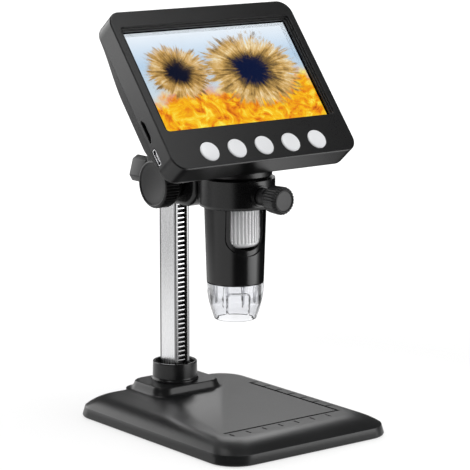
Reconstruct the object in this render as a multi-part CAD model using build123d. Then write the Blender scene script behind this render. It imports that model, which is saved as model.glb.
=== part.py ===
from build123d import *
import os
from math import acos, cos, pi, radians, sin, tan

# Portable microscope with a screen, on a weighted base with a rack column.
# Millimetres. Origin on the table under the middle of the base, +Z up, front is -Y.

# ------------------------------------------------------------------ fits
RUN_FIT = 0.06            # radial gap of a shaft that turns or slides in its hole
SLIDE_GAP = 0.2           # gap between the column and the liner that slides on it
SEAT_GAP = 0.35           # gap between bodies that pass each other
SCREW_FIT = 0.05          # radial gap round a screw

# ------------------------------------------------------------------ base
BASE_W = 104.0            # across
BASE_D = 132.0            # front to back
BASE_CORNER = 15.0
PAD_T = 0.8               # rubber sheet under the base
PAD_INSET = 6.0
PLATE_T = 1.2             # bottom plate
WALL_TOP = 5.4            # top of the upright wall above the table
TRAY_Z = 9.9              # flat tray above the table
SLOPE_SIDE = 14.0         # width of the convex slope beside the tray
SLOPE_FRONT = 17.0
SLOPE_BACK = 9.0
SLOPE_START = 36.0        # steepness of the slope where it leaves the wall, degrees
BASE_WALL = 2.2
BASE_CHAMFER = 0.8
CORNER_SHRINK = 0.4       # corner radius lost for each millimetre drawn in
BOSS_R = 3.6
BOSS_INSET = 13.0         # screw posts in from the sides of the base
BASE_SCREW_R = 1.3
BASE_SCREW_HEAD_R = 2.6
BASE_SCREW_L = 5.0
BALLAST_W = 66.0
BALLAST_D = 62.0
BALLAST_T = 3.4
BALLAST_Y = -16.0         # middle of the ballast plate

# ------------------------------------------------------------------ ruler on the tray
RULER_X = 36.0            # groove beside the right-hand scale
RULER_Y = -40.2           # groove behind the front scale
RULER_LEFT = -35.5
RULER_BACK = 31.0
GROOVE_W = 1.3
GROOVE_DEPTH = 0.7
TICK_PITCH = 10.0
TICK_COUNT = 7
TICK_L = 3.6
TICK_W = 0.8
TICK_GAP = 3.2            # groove to the near end of a front tick
TICK_SIDE_L = 4.2         # ticks that branch off the side groove
TICK_DEPTH = 0.5

# ------------------------------------------------------------------ plinth and collar
PLINTH_W = 46.0           # at its foot
PLINTH_FRONT = 30.5
PLINTH_BACK = 65.0
PLINTH_TOP = 14.4
PLINTH_CORNER = 9.0
PLINTH_SIDE_RUN = 4.0     # how far the skirt draws in on its way up
PLINTH_FRONT_RUN = 2.5
PLINTH_BACK_RUN = 5.0
PLINTH_SKIRT = ((0, 0), (0.08, 0.36), (0.28, 0.6), (0.72, 0.78), (0.93, 0.88), (1, 1))  # rise, run
COLLAR_R = 11.4
COLLAR_FLARE = 0.7
COLLAR_FLARE_H = 1.6
COLLAR_H = 9.8
COLLAR_RIM = 1.3
COLLAR_RECESS = 2.6
FOOT_W = 26.0             # steel plate that holds the column from below
FOOT_D = 24.0
FOOT_T = 2.0
FOOT_SCREW_SPAN = 18.0
FOOT_SCREW_R = 1.2
FOOT_SCREW_HEAD_R = 2.3
FOOT_SCREW_L = 6.0
BOLT_R = 2.0
BOLT_L = 14.0
BOLT_HEAD_R = 3.6
BOLT_HEAD_H = 1.4

# ------------------------------------------------------------------ column and rack
COL_W = 9.2
COL_D = 13.9
COL_FRONT = 40.5          # front face of the column
COL_EDGE = 0.8
COL_FOOT_Z = 6.2
COL_TOP = 184.0
SLOT_W = 5.7
SLOT_DEPTH = 4.4
CAP_T = 2.4
CAP_LIP = 0.5
CAP_PEG_L = 6.0
TOOTH_PITCH = 2.4
TOOTH_COUNT = 20
PRESSURE = 20.0           # pressure angle, degrees
BACKLASH = 0.16
RACK_SUNK = 1.2           # tooth tips below the face of the column
RACK_BED_DROP = 0.3       # bed below the roots of the teeth
RACK_SIDE = 0.05          # rack bed to the sides of the slot
RACK_LEDGE = 0.65         # bed beyond the teeth on each side
PINION_W = 5.1

# ------------------------------------------------------------------ carriage
DRIVE_Z = 120.0           # height of the drive shaft
HOUSE_W = 18.0
HOUSE_FRONT = 17.9
HOUSE_BACK = 60.0
HOUSE_LOW = 108.4
HOUSE_TOP = 134.0
HOUSE_NOSE = 9.5          # corners at the front, seen from the side
HOUSE_CORNER = 4.0
HOUSE_EDGE = 2.4
LINER_T = 1.2
LINER_SUNK = 0.8          # ends of the liner inside the housing
POCKET_GAP = 0.7          # round the pinion
POCKET_SIDE = 0.6
SHAFT_R = 2.5
BUSH_R = 4.0
BUSH_FLANGE_R = 6.0
BUSH_FLANGE_T = 0.6
AXIS_Y = -3.4             # optical axis
RING_R = 18.9
RING_BORE = 16.6
RING_SHIFT = 1.3          # outside of the ring ahead of its bore
RING_LOW = 112.4
RING_TOP = 126.8
RING_ROUND = 1.6
ARM_W = 13.0
ARM_LOW = 112.8
ARM_TOP = 125.0
RING_BOSS_R = 5.2
RING_BOSS_L = 1.0
THUMB_Z = 119.5

# ------------------------------------------------------------------ knobs
KNOB_R = 12.2
KNOB_L = 8.9
KNOB_FACE_X = 22.9        # outer face of a drive knob from the middle
KNOB_HUB_R = 8.0
KNOB_HUB_GAP = 0.4
KNOB_RIM = 0.9
KNOB_RIDGE_COUNT = 46
KNOB_RIDGE = 0.65
KNOB_DISH = 0.4
LOCK_Z = 120.6
LOCK_FLAT = 8.6           # long side of the lock knob's eight
LOCK_CUT = 3.6            # short side
LOCK_L = 11.8
LOCK_HUB_R = 4.6
LOCK_HUB_L = 4.1
LOCK_TURN = 15.0
LOCK_STUD_R = 2.4
LOCK_EDGE = 0.7
THUMB_R = 6.95
THUMB_TAPER = 0.35        # head narrower at its back
THUMB_HEAD_L = 10.0
THUMB_EDGE = 1.3          # rounding round the face
THUMB_DISC_R = 5.3
THUMB_COLLAR_R = 4.4
THUMB_COLLAR_L = 2.4
THUMB_NECK_R = 3.8
THUMB_L = 17.1
THUMB_FLUTE_COUNT = 26
THUMB_FLUTE_R = 0.52
THUMB_STUD_R = 2.0
PAD_R = 3.0

# ------------------------------------------------------------------ screen housing
SCREEN_Y = 2.75           # middle of the picture
SCREEN_Z = 176.1
SCREEN_TILT = 50.6        # from the horizontal, degrees
SCREEN_W = 98.6
SCREEN_H = 56.2
MARGIN_SIDE = 6.9
MARGIN_TOP = 11.6
MARGIN_LOW = 22.6
CASE_CORNER = 7.5
CASE_DEPTH = 11.9         # front face to the seam
CASE_WALL = 1.8
FRONT_T = 2.5
FRONT_CHAMFER = 0.5
STEP_COUNT = 3
STEP_RUN = 2.6
STEP_CORNER = 1.0
LOWER_LIP = 1.1
HUMP = 5.6                # depth of the raised back
HUMP_EDGE = 0.9
HUMP_TAPER = 10.0
HUMP_TOP = 34.0           # where the raised back starts, above the middle of the picture
HUMP_FULL = -1.0
HUMP_LOW = -27.0
HUMP_END = -42.5
NECK_R = 18.2
NECK_WALL = 1.8
NECK_ROUND = 1.0
GLASS_T = 0.8
GLASS_LIP = 1.4
PANEL_SIDE = 3.45         # panel beyond the picture at the sides
PANEL_EDGE = 5.5          # and above and below
PANEL_T = 2.9
KEY_ROW = 14.35           # key centres below the screen's lower edge
KEY_R = 5.2
KEY_PITCH = 16.5
KEY_COUNT = 5
KEY_PROUD = 0.8
KEY_DOME = 0.5
KEY_FLANGE = 1.0
KEY_FLANGE_T = 0.9
KEY_TRAVEL = 0.6
KEY_GAP = 0.05
SWITCH = 6.0
SWITCH_T = 1.9
KEY_BOARD_H = 12.0
KEY_BOARD_T = 1.2
KEY_POST_R = 2.0
MAIN_T = 1.0
MAIN_LEFT = 53.2
MAIN_RIGHT = 46.0
MAIN_UP = 28.0
POST_R = 2.6
POST_X = 41.0
POST_UP = 22.0
POST_LOW = -34.6
BATTERY_W = 44.0
BATTERY_H = 24.0
BATTERY_T = 4.0
BATTERY_UP = 2.0
PORT_V = -37.2            # middle of the socket on the left wall
PORT_W = 8.4
PORT_T = 2.6
PORT_L = 7.4
PORT_SHELL = 0.4
PORT_CORNER = 0.9
PORT_GAP = 0.15
CARD_V = -23.2
CARD_W = 12.4
CARD_T = 1.6
CARD_L = 14.6
CARD_SHELL = 0.25
SCOOP_H = 2.7
SCOOP_DEPTH = 0.8
CASE_SCREW_R = 1.1
CASE_SCREW_HEAD_R = 2.1
CASE_SCREW_HEAD_H = 1.2
CASE_SCREW_L = 8.0
CASE_BOSS_R = 2.3
CASE_BOSS_INSET = 4.1

# ------------------------------------------------------------------ tube and optics
TUBE_R = 15.6             # where the ring holds it
TUBE_TAPER_TOP = 15.4
TUBE_LOW_R = 14.2
TUBE_LOW = 74.0
TUBE_TOP = 131.0
TUBE_WALL = 1.5
TUBE_ROUND = 0.6
WINDOW_TURN = -10.0       # window turned from the front, degrees
WINDOW_W = 17.6
WINDOW_LOW = 91.7
WINDOW_TOP = 114.5
WINDOW_END = 6.6          # height of the oval lower end
WINDOW_EDGE = 2.2
WINDOW_EDGE_LOW = 2.7
WINDOW_EDGE_DEPTH = 0.7
WHEEL_R = 13.1
WHEEL_BORE = 10.4
WHEEL_LOW = 92.9
WHEEL_TOP = 113.0
WHEEL_LIP = 2.3
WHEEL_RIDGE_COUNT = 42
WHEEL_RIDGE = 0.6
LEDGE_T = 1.6
LEDGE_R = 10.8
RETAINER_T = 3.0
CARRIER_WALL = 2.3
CARRIER_LOW = 97.0
CARRIER_TOP = 109.0
LENS_T = 3.0
SENSOR = 8.0
SENSOR_T = 1.5
BOARD_T = 1.2
LED_BORE = 6.0
LED_SIZE = 2.0
LED_T = 0.8
LED_COUNT = 8
LED_RING_R = 8.6
LED_Z = 77.6
HOOD_LOW = 55.6
HOOD_SHOULDER = 69.4
HOOD_BELLY_DROP = 5.4     # widest bend of the hood below its shoulder
HOOD_BELLY_R = 13.0
HOOD_SHOULDER_R = 13.75
HOOD_LOW_R = 10.4
HOOD_WALL = 1.7
HOOD_SPIGOT = 2.2
ARCH_W = 11.0
ARCH_TOP = 68.3
ARCH_CORNER = 3.0
ARCH_DEPTH = 0.6
ARCH_TURN = -31.0

# ------------------------------------------------------------------ derived
PLATE_TOP = PAD_T + PLATE_T
MODULE = TOOTH_PITCH / pi
PITCH_R = MODULE * TOOTH_COUNT / 2
RACK_PITCH_Y = COL_FRONT + RACK_SUNK + MODULE
DRIVE_Y = RACK_PITCH_Y - PITCH_R
COL_Y = COL_FRONT + COL_D / 2
SLOT_Y = COL_FRONT + SLOT_DEPTH
COLLAR_Z = PLINTH_TOP + COLLAR_H
CORE_R = BOLT_R + SCREW_FIT
CORE_Y = COL_Y + SLOT_DEPTH / 4
FACE_W = SCREEN_W + 2 * MARGIN_SIDE
FACE_H = SCREEN_H + MARGIN_TOP + MARGIN_LOW
FACE_V = (MARGIN_TOP - MARGIN_LOW) / 2
FACE_UP = SCREEN_H / 2 + MARGIN_TOP
FACE_DOWN = -SCREEN_H / 2 - MARGIN_LOW
SEAM = FRONT_T - CASE_DEPTH
KEY_V = -SCREEN_H / 2 - KEY_ROW
KEY_BOARD_FRONT = -(KEY_GAP + KEY_FLANGE_T + KEY_TRAVEL + 0.25 + SWITCH_T)
MAIN_FRONT = KEY_BOARD_FRONT - KEY_BOARD_T
MAIN_BACK = MAIN_FRONT - MAIN_T
LINER_R = TUBE_R + RUN_FIT
RING_FRONT = AXIS_Y - RING_SHIFT - RING_R
TUBE_BORE_TOP = TUBE_R - TUBE_WALL
HOOD_BELLY_Z = HOOD_SHOULDER - HOOD_BELLY_DROP
PANEL_W = SCREEN_W + 2 * PANEL_SIDE
PANEL_H = SCREEN_H + 2 * PANEL_EDGE


# ------------------------------------------------------------------ plain forms
def slab(w, d, r, z0, z1, x=0.0, y=0.0):
    """Upright prism with a rounded rectangle as its plan."""
    return Pos(x, y, z0) * extrude(RectangleRounded(w, d, r), amount=z1 - z0)


def block(x0, x1, y0, y1, z0, z1):
    return Pos((x0 + x1) / 2, (y0 + y1) / 2, (z0 + z1) / 2) * Box(x1 - x0, y1 - y0, z1 - z0)


def rod(r, z0, z1, x=0.0, y=0.0):
    return Pos(x, y, (z0 + z1) / 2) * Cylinder(r, z1 - z0)


def rod_x(r, x0, x1, y, z):
    return Pos((x0 + x1) / 2, y, z) * Rot(0, 90, 0) * Cylinder(r, x1 - x0)


def rod_y(r, y0, y1, x, z):
    return Pos(x, (y0 + y1) / 2, z) * Rot(90, 0, 0) * Cylinder(r, y1 - y0)


def turned(*points):
    """Solid of revolution about Z from radius and height pairs."""
    return revolve(Plane.XZ * make_face(Polyline(*points, close=True)), axis=Axis.Z)


def ridged(r, depth, count, length):
    """Prism along Z with straight ridges round it."""
    step = 2 * pi / count
    points = []
    for i in range(count):
        for share, radius in ((-0.22, r), (0.22, r), (0.36, r - depth), (0.64, r - depth)):
            a = (i + share) * step
            points.append((radius * cos(a), radius * sin(a)))
    return extrude(make_face(Polyline(*points, close=True)), amount=length)


def drawn_in(w, y0, y1, corner, z0, z1, side, front, back, profile):
    """Loft of rounded rectangles that draw in as they rise, by shares of rise and run."""
    rings = []
    for rise, run in profile:
        ya, yb = y0 + front * run, y1 - back * run
        radius = max(corner - CORNER_SHRINK * side * run, 1.0)
        plan = RectangleRounded(w - 2 * side * run, yb - ya, radius)
        rings.append(Pos(0, (ya + yb) / 2, z0 + (z1 - z0) * rise) * plan)
    return loft(rings)


def crown(start, count):
    """Shares of rise and run along a convex arc that ends level."""
    a0 = radians(start)
    angles = [a0 * (1 - i / (count - 1)) for i in range(count)]
    return [((cos(a) - cos(a0)) / (1 - cos(a0)), (sin(a0) - sin(a)) / sin(a0)) for a in angles]


def tilted(shape):
    """From the screen's own frame (picture plane at 0, outward is +Z) to the row frame."""
    return Pos(0, SCREEN_Y, SCREEN_Z) * Rot(SCREEN_TILT, 0, 0) * shape


# ------------------------------------------------------------------ base
def boss_points():
    x, y = BASE_W / 2 - BOSS_INSET, BASE_D / 2 - BOSS_INSET
    return [(x, y), (-x, y), (x, -y), (-x, -y)]


def foot_points():
    h = FOOT_SCREW_SPAN / 2
    return [(h, COL_Y + h), (-h, COL_Y + h), (h, COL_Y - h), (-h, COL_Y - h)]


def base_form(wall, count):
    """Upright skirt and crown of the base, drawn in and lowered by a wall."""
    w, d = BASE_W - 2 * wall, BASE_D - 2 * wall
    skirt = slab(w, d, BASE_CORNER - wall, PAD_T, WALL_TOP - wall)
    top = drawn_in(w, -d / 2, d / 2, BASE_CORNER - wall, WALL_TOP - wall, TRAY_Z - wall,
                   SLOPE_SIDE, SLOPE_FRONT, SLOPE_BACK, crown(SLOPE_START, count))
    return skirt, top


def plinth_form(wall, profile):
    """Plinth with a cove at its foot, a steep skirt and a rolled edge, drawn in by a wall."""
    w, y0, y1 = PLINTH_W - 2 * wall, PLINTH_FRONT + wall, PLINTH_BACK - wall
    foot = slab(w, y1 - y0, PLINTH_CORNER - wall, WALL_TOP - wall, TRAY_Z - wall, 0, (y0 + y1) / 2)
    return foot + drawn_in(w, y0, y1, PLINTH_CORNER - wall, TRAY_Z - wall, PLINTH_TOP - wall,
                           PLINTH_SIDE_RUN, PLINTH_FRONT_RUN, PLINTH_BACK_RUN, profile)


def ruler_cut():
    """L-shaped groove and the scale marks outside it."""
    z0, z1 = TRAY_Z - GROOVE_DEPTH, TRAY_Z + 1
    half = GROOVE_W / 2
    cut = block(RULER_LEFT, RULER_X + half, RULER_Y - half, RULER_Y + half, z0, z1)
    cut += block(RULER_X - half, RULER_X + half, RULER_Y - half, RULER_BACK, z0, z1)
    z2 = TRAY_Z - TICK_DEPTH
    for i in range(TICK_COUNT):
        s = (i + 1) * TICK_PITCH
        x, y = RULER_X - s, RULER_Y + s
        front = RULER_Y - TICK_GAP
        cut += block(x - TICK_W / 2, x + TICK_W / 2, front - TICK_L, front, z2, z1)
        cut += block(RULER_X, RULER_X + half + TICK_SIDE_L, y - TICK_W / 2, y + TICK_W / 2, z2, z1)
    return cut


def column_hole(gap, z0, z1):
    return slab(COL_W + 2 * gap, COL_D + 2 * gap, COL_EDGE, z0, z1, 0, COL_Y)


def base_shell():
    skirt, top = base_form(0, 5)
    skirt = chamfer(skirt.edges().group_by(Axis.Z)[0], BASE_CHAMFER)
    inner_skirt, inner_top = base_form(BASE_WALL, 2)
    body = skirt + top + plinth_form(0, PLINTH_SKIRT)
    body -= inner_skirt
    body -= inner_top
    body -= plinth_form(BASE_WALL, (PLINTH_SKIRT[0], PLINTH_SKIRT[-1]))
    for x, y in boss_points():
        body += rod(BOSS_R, PLATE_TOP, TRAY_Z, x, y) & (skirt + top)
    for x, y in foot_points():
        body += rod(BOSS_R, COL_FOOT_Z, PLINTH_TOP - BASE_WALL + 0.5, x, y)
    for x, y in boss_points():
        body -= rod(BASE_SCREW_R + SCREW_FIT, 0, BASE_SCREW_L + PAD_T, x, y)
    for x, y in foot_points():
        body -= rod(FOOT_SCREW_R + SCREW_FIT, 0, COL_FOOT_Z - FOOT_T + FOOT_SCREW_L, x, y)
    body -= column_hole(SCREW_FIT, COL_FOOT_Z - 1, PLINTH_TOP + 1)
    return body - ruler_cut()


def base_plate():
    gap = BASE_WALL + 0.1
    plate = slab(BASE_W - 2 * gap, BASE_D - 2 * gap, BASE_CORNER - gap, PAD_T, PLATE_TOP)
    for x, y in boss_points():
        plate -= rod(BASE_SCREW_HEAD_R, PAD_T, PAD_T + PLATE_T / 2, x, y)
        plate -= rod(BASE_SCREW_R + SCREW_FIT, PAD_T, PLATE_TOP, x, y)
    return plate


def base_pad():
    return slab(BASE_W - 2 * PAD_INSET, BASE_D - 2 * PAD_INSET, BASE_CORNER - PAD_INSET, 0, PAD_T)


def ballast():
    return slab(BALLAST_W, BALLAST_D, 3, PLATE_TOP, PLATE_TOP + BALLAST_T, 0, BALLAST_Y)


def screws(points, r, head_r, head_h, length, z):
    """Screws with their heads down and their under-head face at z."""
    parts = []
    for x, y in points:
        parts.append(rod(head_r, z - head_h, z, x, y) + rod(r, z, z + length, x, y))
    return Compound(children=parts)


def base_screws():
    head = PLATE_T / 2
    return screws(boss_points(), BASE_SCREW_R, BASE_SCREW_HEAD_R - SCREW_FIT, head,
                  BASE_SCREW_L - PLATE_T, PAD_T + head)


def foot_plate():
    plate = slab(FOOT_W, FOOT_D, 3, COL_FOOT_Z - FOOT_T, COL_FOOT_Z, 0, COL_Y)
    for x, y in foot_points():
        plate -= rod(FOOT_SCREW_R + SCREW_FIT, 0, COL_FOOT_Z, x, y)
    return plate - rod(CORE_R, 0, COL_FOOT_Z, 0, CORE_Y)


def foot_screws():
    return screws(foot_points(), FOOT_SCREW_R, FOOT_SCREW_HEAD_R, 1.0, FOOT_SCREW_L - 0.5,
                  COL_FOOT_Z - FOOT_T)


def column_bolt():
    return screws([(0, CORE_Y)], BOLT_R, BOLT_HEAD_R, BOLT_HEAD_H, BOLT_L, COL_FOOT_Z - FOOT_T)


def column_collar():
    flared = COLLAR_R + COLLAR_FLARE
    collar = turned((0, 0), (flared, 0), (flared, COLLAR_FLARE_H * 0.4), (COLLAR_R + 0.2, COLLAR_FLARE_H),
                    (COLLAR_R, COLLAR_H - 0.4), (COLLAR_R - 0.4, COLLAR_H),
                    (COLLAR_R - COLLAR_RIM, COLLAR_H),
                    (COLLAR_R - COLLAR_RIM - 0.4, COLLAR_H - COLLAR_RECESS), (0, COLLAR_H - COLLAR_RECESS))
    return Pos(0, COL_Y, PLINTH_TOP) * collar - column_hole(SCREW_FIT, PLINTH_TOP - 1, COLLAR_Z)


# ------------------------------------------------------------------ column, rack and pinion
def column():
    bar = slab(COL_W, COL_D, COL_EDGE, COL_FOOT_Z, COL_TOP, 0, COL_Y)
    bar -= block(-SLOT_W / 2, SLOT_W / 2, COL_FRONT - 1, SLOT_Y, COL_FOOT_Z - 1, COL_TOP + 1)
    return bar - rod(CORE_R, COL_FOOT_Z - 1, COL_TOP + 1, 0, CORE_Y)


def column_cap():
    cap = slab(COL_W + 2 * CAP_LIP, COL_D + 2 * CAP_LIP, COL_EDGE + CAP_LIP,
               COL_TOP, COL_TOP + CAP_T, 0, COL_Y)
    cap = fillet(cap.edges().group_by(Axis.Z)[-1], 0.8)
    peg = rod(CORE_R - SCREW_FIT, COL_TOP - CAP_PEG_L, COL_TOP, 0, CORE_Y)
    return cap + peg


def rack():
    """Straight rack: every tooth space lines up with the pinion's height."""
    lean = tan(radians(PRESSURE))
    tip = TOOTH_PITCH / 4 - BACKLASH / 4 - MODULE * lean
    root = TOOTH_PITCH / 4 - BACKLASH / 4 + 1.25 * MODULE * lean
    tip_y, root_y = RACK_PITCH_Y - MODULE, RACK_PITCH_Y + 1.25 * MODULE
    low, high = COLLAR_Z - COLLAR_RECESS, COL_TOP
    first = -int((DRIVE_Z - low - root) / TOOTH_PITCH - 0.5)
    last = int((high - root - DRIVE_Z) / TOOTH_PITCH - 0.5)
    points = [(SLOT_Y, low), (root_y, low)]
    for i in range(first, last + 1):
        z = DRIVE_Z + (i + 0.5) * TOOTH_PITCH
        points += [(root_y, z - root), (tip_y, z - tip), (tip_y, z + tip), (root_y, z + root)]
    points += [(root_y, high), (SLOT_Y, high)]
    bed = SLOT_W / 2 - RACK_SIDE
    half = bed - RACK_LEDGE
    face = Plane.YZ * make_face(Polyline(*points, close=True))
    teeth = Pos(-half, 0, 0) * extrude(face, amount=2 * half, dir=(1, 0, 0))
    return teeth + block(-bed, bed, root_y + RACK_BED_DROP, SLOT_Y, low, high)


def flank_angle(r):
    """Half the angle of an involute tooth at radius r."""
    base_r = PITCH_R * cos(radians(PRESSURE))
    at = acos(min(base_r / r, 1.0))
    pressure = radians(PRESSURE)
    half = pi / (2 * TOOTH_COUNT) - BACKLASH / (4 * PITCH_R)
    return half + (tan(pressure) - pressure) - (tan(at) - at)


def pinion_gear():
    tip_r, root_r = PITCH_R + MODULE, PITCH_R - 1.25 * MODULE
    low_r = max(root_r, PITCH_R * cos(radians(PRESSURE)))
    radii = [low_r + (tip_r - low_r) * i / 4 for i in range(5)]
    points = []
    for tooth in range(TOOTH_COUNT):
        a = 2 * pi * tooth / TOOTH_COUNT
        side = [(r, -flank_angle(r)) for r in radii] + [(r, flank_angle(r)) for r in reversed(radii)]
        side = [(root_r, -flank_angle(low_r))] + side + [(root_r, flank_angle(low_r))]
        points += [(r * cos(a + b), r * sin(a + b)) for r, b in side]
    gear = extrude(make_face(Polyline(*points, close=True)), amount=PINION_W)
    gear -= rod(SHAFT_R, -1, PINION_W + 1)
    return Pos(-PINION_W / 2, DRIVE_Y, DRIVE_Z) * Rot(0, 90, 0) * Rot(0, 0, 90) * gear


def drive_shaft():
    reach = KNOB_FACE_X - 3.0
    return chamfer(rod_x(SHAFT_R, -reach, reach, DRIVE_Y, DRIVE_Z).edges(), 0.3)


def drive_knob():
    """Knob on the +X end, built about Z and turned to lie along +X."""
    inner = HOUSE_W / 2 + KNOB_HUB_GAP + BUSH_FLANGE_T
    back = KNOB_FACE_X - KNOB_L
    rim = KNOB_R - KNOB_RIM
    knob = turned((0, inner), (KNOB_HUB_R, inner), (KNOB_HUB_R, back), (rim, back),
                  (KNOB_R, back + KNOB_RIM / 2), (KNOB_R, KNOB_FACE_X - KNOB_RIM),
                  (KNOB_R - KNOB_RIM / 3, KNOB_FACE_X - KNOB_RIM / 3), (rim, KNOB_FACE_X),
                  (rim - 0.5, KNOB_FACE_X), (rim - 1.0, KNOB_FACE_X - KNOB_DISH),
                  (0, KNOB_FACE_X - KNOB_DISH))
    star = Pos(0, 0, back - 1) * ridged(KNOB_R, KNOB_RIDGE, KNOB_RIDGE_COUNT, KNOB_L - KNOB_RIM + 1)
    cap = rod(KNOB_R + 1, KNOB_FACE_X - KNOB_RIM, KNOB_FACE_X + 1)
    knob = knob & (star + cap)
    knob -= rod(SHAFT_R, inner - 1, KNOB_FACE_X - 3.0)
    return Rot(0, 90, 0) * knob


def knob_right():
    return Pos(0, DRIVE_Y, DRIVE_Z) * drive_knob()


def knob_left():
    return Pos(0, DRIVE_Y, DRIVE_Z) * (Rot(0, 0, 180) * drive_knob())


# ------------------------------------------------------------------ carriage
def liner_box(grow, z0, z1):
    """Space of the sliding liner, or of the column with its gap when grow is 0."""
    gap = SLIDE_GAP + grow
    return block(-COL_W / 2 - gap, COL_W / 2 + gap, COL_FRONT - gap, COL_FRONT + COL_D + gap, z0, z1)


def pinion_space():
    half = PINION_W / 2 + POCKET_SIDE
    return rod_x(PITCH_R + MODULE + POCKET_GAP, -half, half, DRIVE_Y, DRIVE_Z)


def house():
    middle = Pos((HOUSE_FRONT + HOUSE_BACK) / 2, (HOUSE_LOW + HOUSE_TOP) / 2)
    side = middle * Rectangle(HOUSE_BACK - HOUSE_FRONT, HOUSE_TOP - HOUSE_LOW)
    side = fillet(side.vertices().group_by(Axis.X)[0], HOUSE_NOSE)
    side = fillet(side.vertices().group_by(Axis.X)[-1], HOUSE_CORNER)
    form = extrude(Plane.YZ * side, amount=HOUSE_W / 2, both=True)
    return fillet(form.faces().filter_by(Axis.X).edges(), HOUSE_EDGE)


def ring():
    low, top, round_ = RING_LOW, RING_TOP, RING_ROUND
    band = turned((RING_BORE - 2, low), (RING_R - round_, low), (RING_R - round_ * 0.3, low + round_ * 0.3),
                  (RING_R, low + round_), (RING_R, top), (RING_BORE - 2, top))
    boss = rod_y(RING_BOSS_R, RING_FRONT - RING_BOSS_L, AXIS_Y - RING_BORE, 0, THUMB_Z)
    return Pos(0, AXIS_Y - RING_SHIFT, 0) * band + boss


def carriage_body():
    body = house()
    arm = block(-ARM_W / 2, ARM_W / 2, AXIS_Y + RING_BORE, HOUSE_FRONT + HOUSE_EDGE, ARM_LOW, ARM_TOP)
    body = body + arm + ring()
    body -= rod(RING_BORE, RING_LOW - 1, RING_TOP + 1, 0, AXIS_Y)
    body -= liner_box(LINER_T, HOUSE_LOW - 1, HOUSE_TOP + 1)
    body -= pinion_space()
    body -= rod_x(BUSH_R, -HOUSE_W / 2 - 1, HOUSE_W / 2 + 1, DRIVE_Y, DRIVE_Z)
    body -= rod_y(LOCK_STUD_R + RUN_FIT, COL_FRONT + COL_D, HOUSE_BACK + 1, 0, LOCK_Z)
    body -= rod_y(THUMB_STUD_R + RUN_FIT, RING_FRONT - RING_BOSS_L - 1, AXIS_Y, 0, THUMB_Z)
    return body


def guide_liner():
    """Plastic sleeve that slides on the column, open where the pinion reaches the rack."""
    low, high = HOUSE_LOW + LINER_SUNK, HOUSE_TOP - LINER_SUNK
    sleeve = liner_box(LINER_T, low, high) - liner_box(0, low - 1, high + 1)
    sleeve -= rod_y(PAD_R + SCREW_FIT, COL_FRONT + COL_D, HOUSE_BACK, 0, LOCK_Z)
    half, reach = PINION_W / 2 + POCKET_SIDE, PITCH_R + MODULE + POCKET_GAP
    front = COL_FRONT - SLIDE_GAP - LINER_T - 1
    return sleeve - block(-half, half, front, COL_FRONT, DRIVE_Z - reach, DRIVE_Z + reach)


def brake_pad():
    back = COL_FRONT + COL_D + SLIDE_GAP
    return rod_y(PAD_R, back, back + LINER_T, 0, LOCK_Z)


def shaft_bushes():
    half = HOUSE_W / 2
    inner = PINION_W / 2 + POCKET_SIDE
    parts = []
    for side in (-1, 1):
        bush = rod(BUSH_R, inner, half) + rod(BUSH_FLANGE_R, half, half + BUSH_FLANGE_T)
        bush -= rod(SHAFT_R + RUN_FIT, 0, half + 2)
        parts.append(Pos(0, DRIVE_Y, DRIVE_Z) * (Rot(0, 90 * side, 0) * bush))
    return Compound(children=parts)


def ring_liner():
    low, high = RING_LOW + 0.5, RING_TOP - 0.5
    liner = rod(RING_BORE, low, high, 0, AXIS_Y) - rod(LINER_R, low - 1, high + 1, 0, AXIS_Y)
    return liner


# ------------------------------------------------------------------ lock knob and thumbscrew
def lock_outline():
    """Eight-sided outline: long flats with cut corners."""
    half = (LOCK_FLAT + LOCK_CUT * 2 ** 0.5) / 2
    flat = LOCK_FLAT / 2
    corners = [(half, flat), (flat, half), (-flat, half), (-half, flat),
               (-half, -flat), (-flat, -half), (flat, -half), (half, -flat)]
    return make_face(Polyline(*corners, close=True))


def lock_knob():
    """Built along Z from the carriage outwards, then laid along +Y."""
    start = HOUSE_BACK + SEAT_GAP
    head = extrude(Rot(0, 0, LOCK_TURN) * lock_outline(), amount=LOCK_L)
    head = chamfer(head.edges().group_by(Axis.Z)[-1], LOCK_EDGE)
    head = chamfer(head.edges().group_by(Axis.Z)[0], LOCK_EDGE)
    knob = Pos(0, 0, LOCK_HUB_L) * head + rod(LOCK_HUB_R, 0, LOCK_HUB_L)
    knob -= rod(LOCK_STUD_R, -1, LOCK_HUB_L + LOCK_L - 3)
    return Pos(0, start, LOCK_Z) * (Rot(-90, 0, 0) * knob)


def lock_stud():
    tip = COL_FRONT + COL_D + SLIDE_GAP + LINER_T
    end = HOUSE_BACK + SEAT_GAP + LOCK_HUB_L + LOCK_L - 3
    return rod_y(LOCK_STUD_R, tip, end, 0, LOCK_Z)


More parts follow.
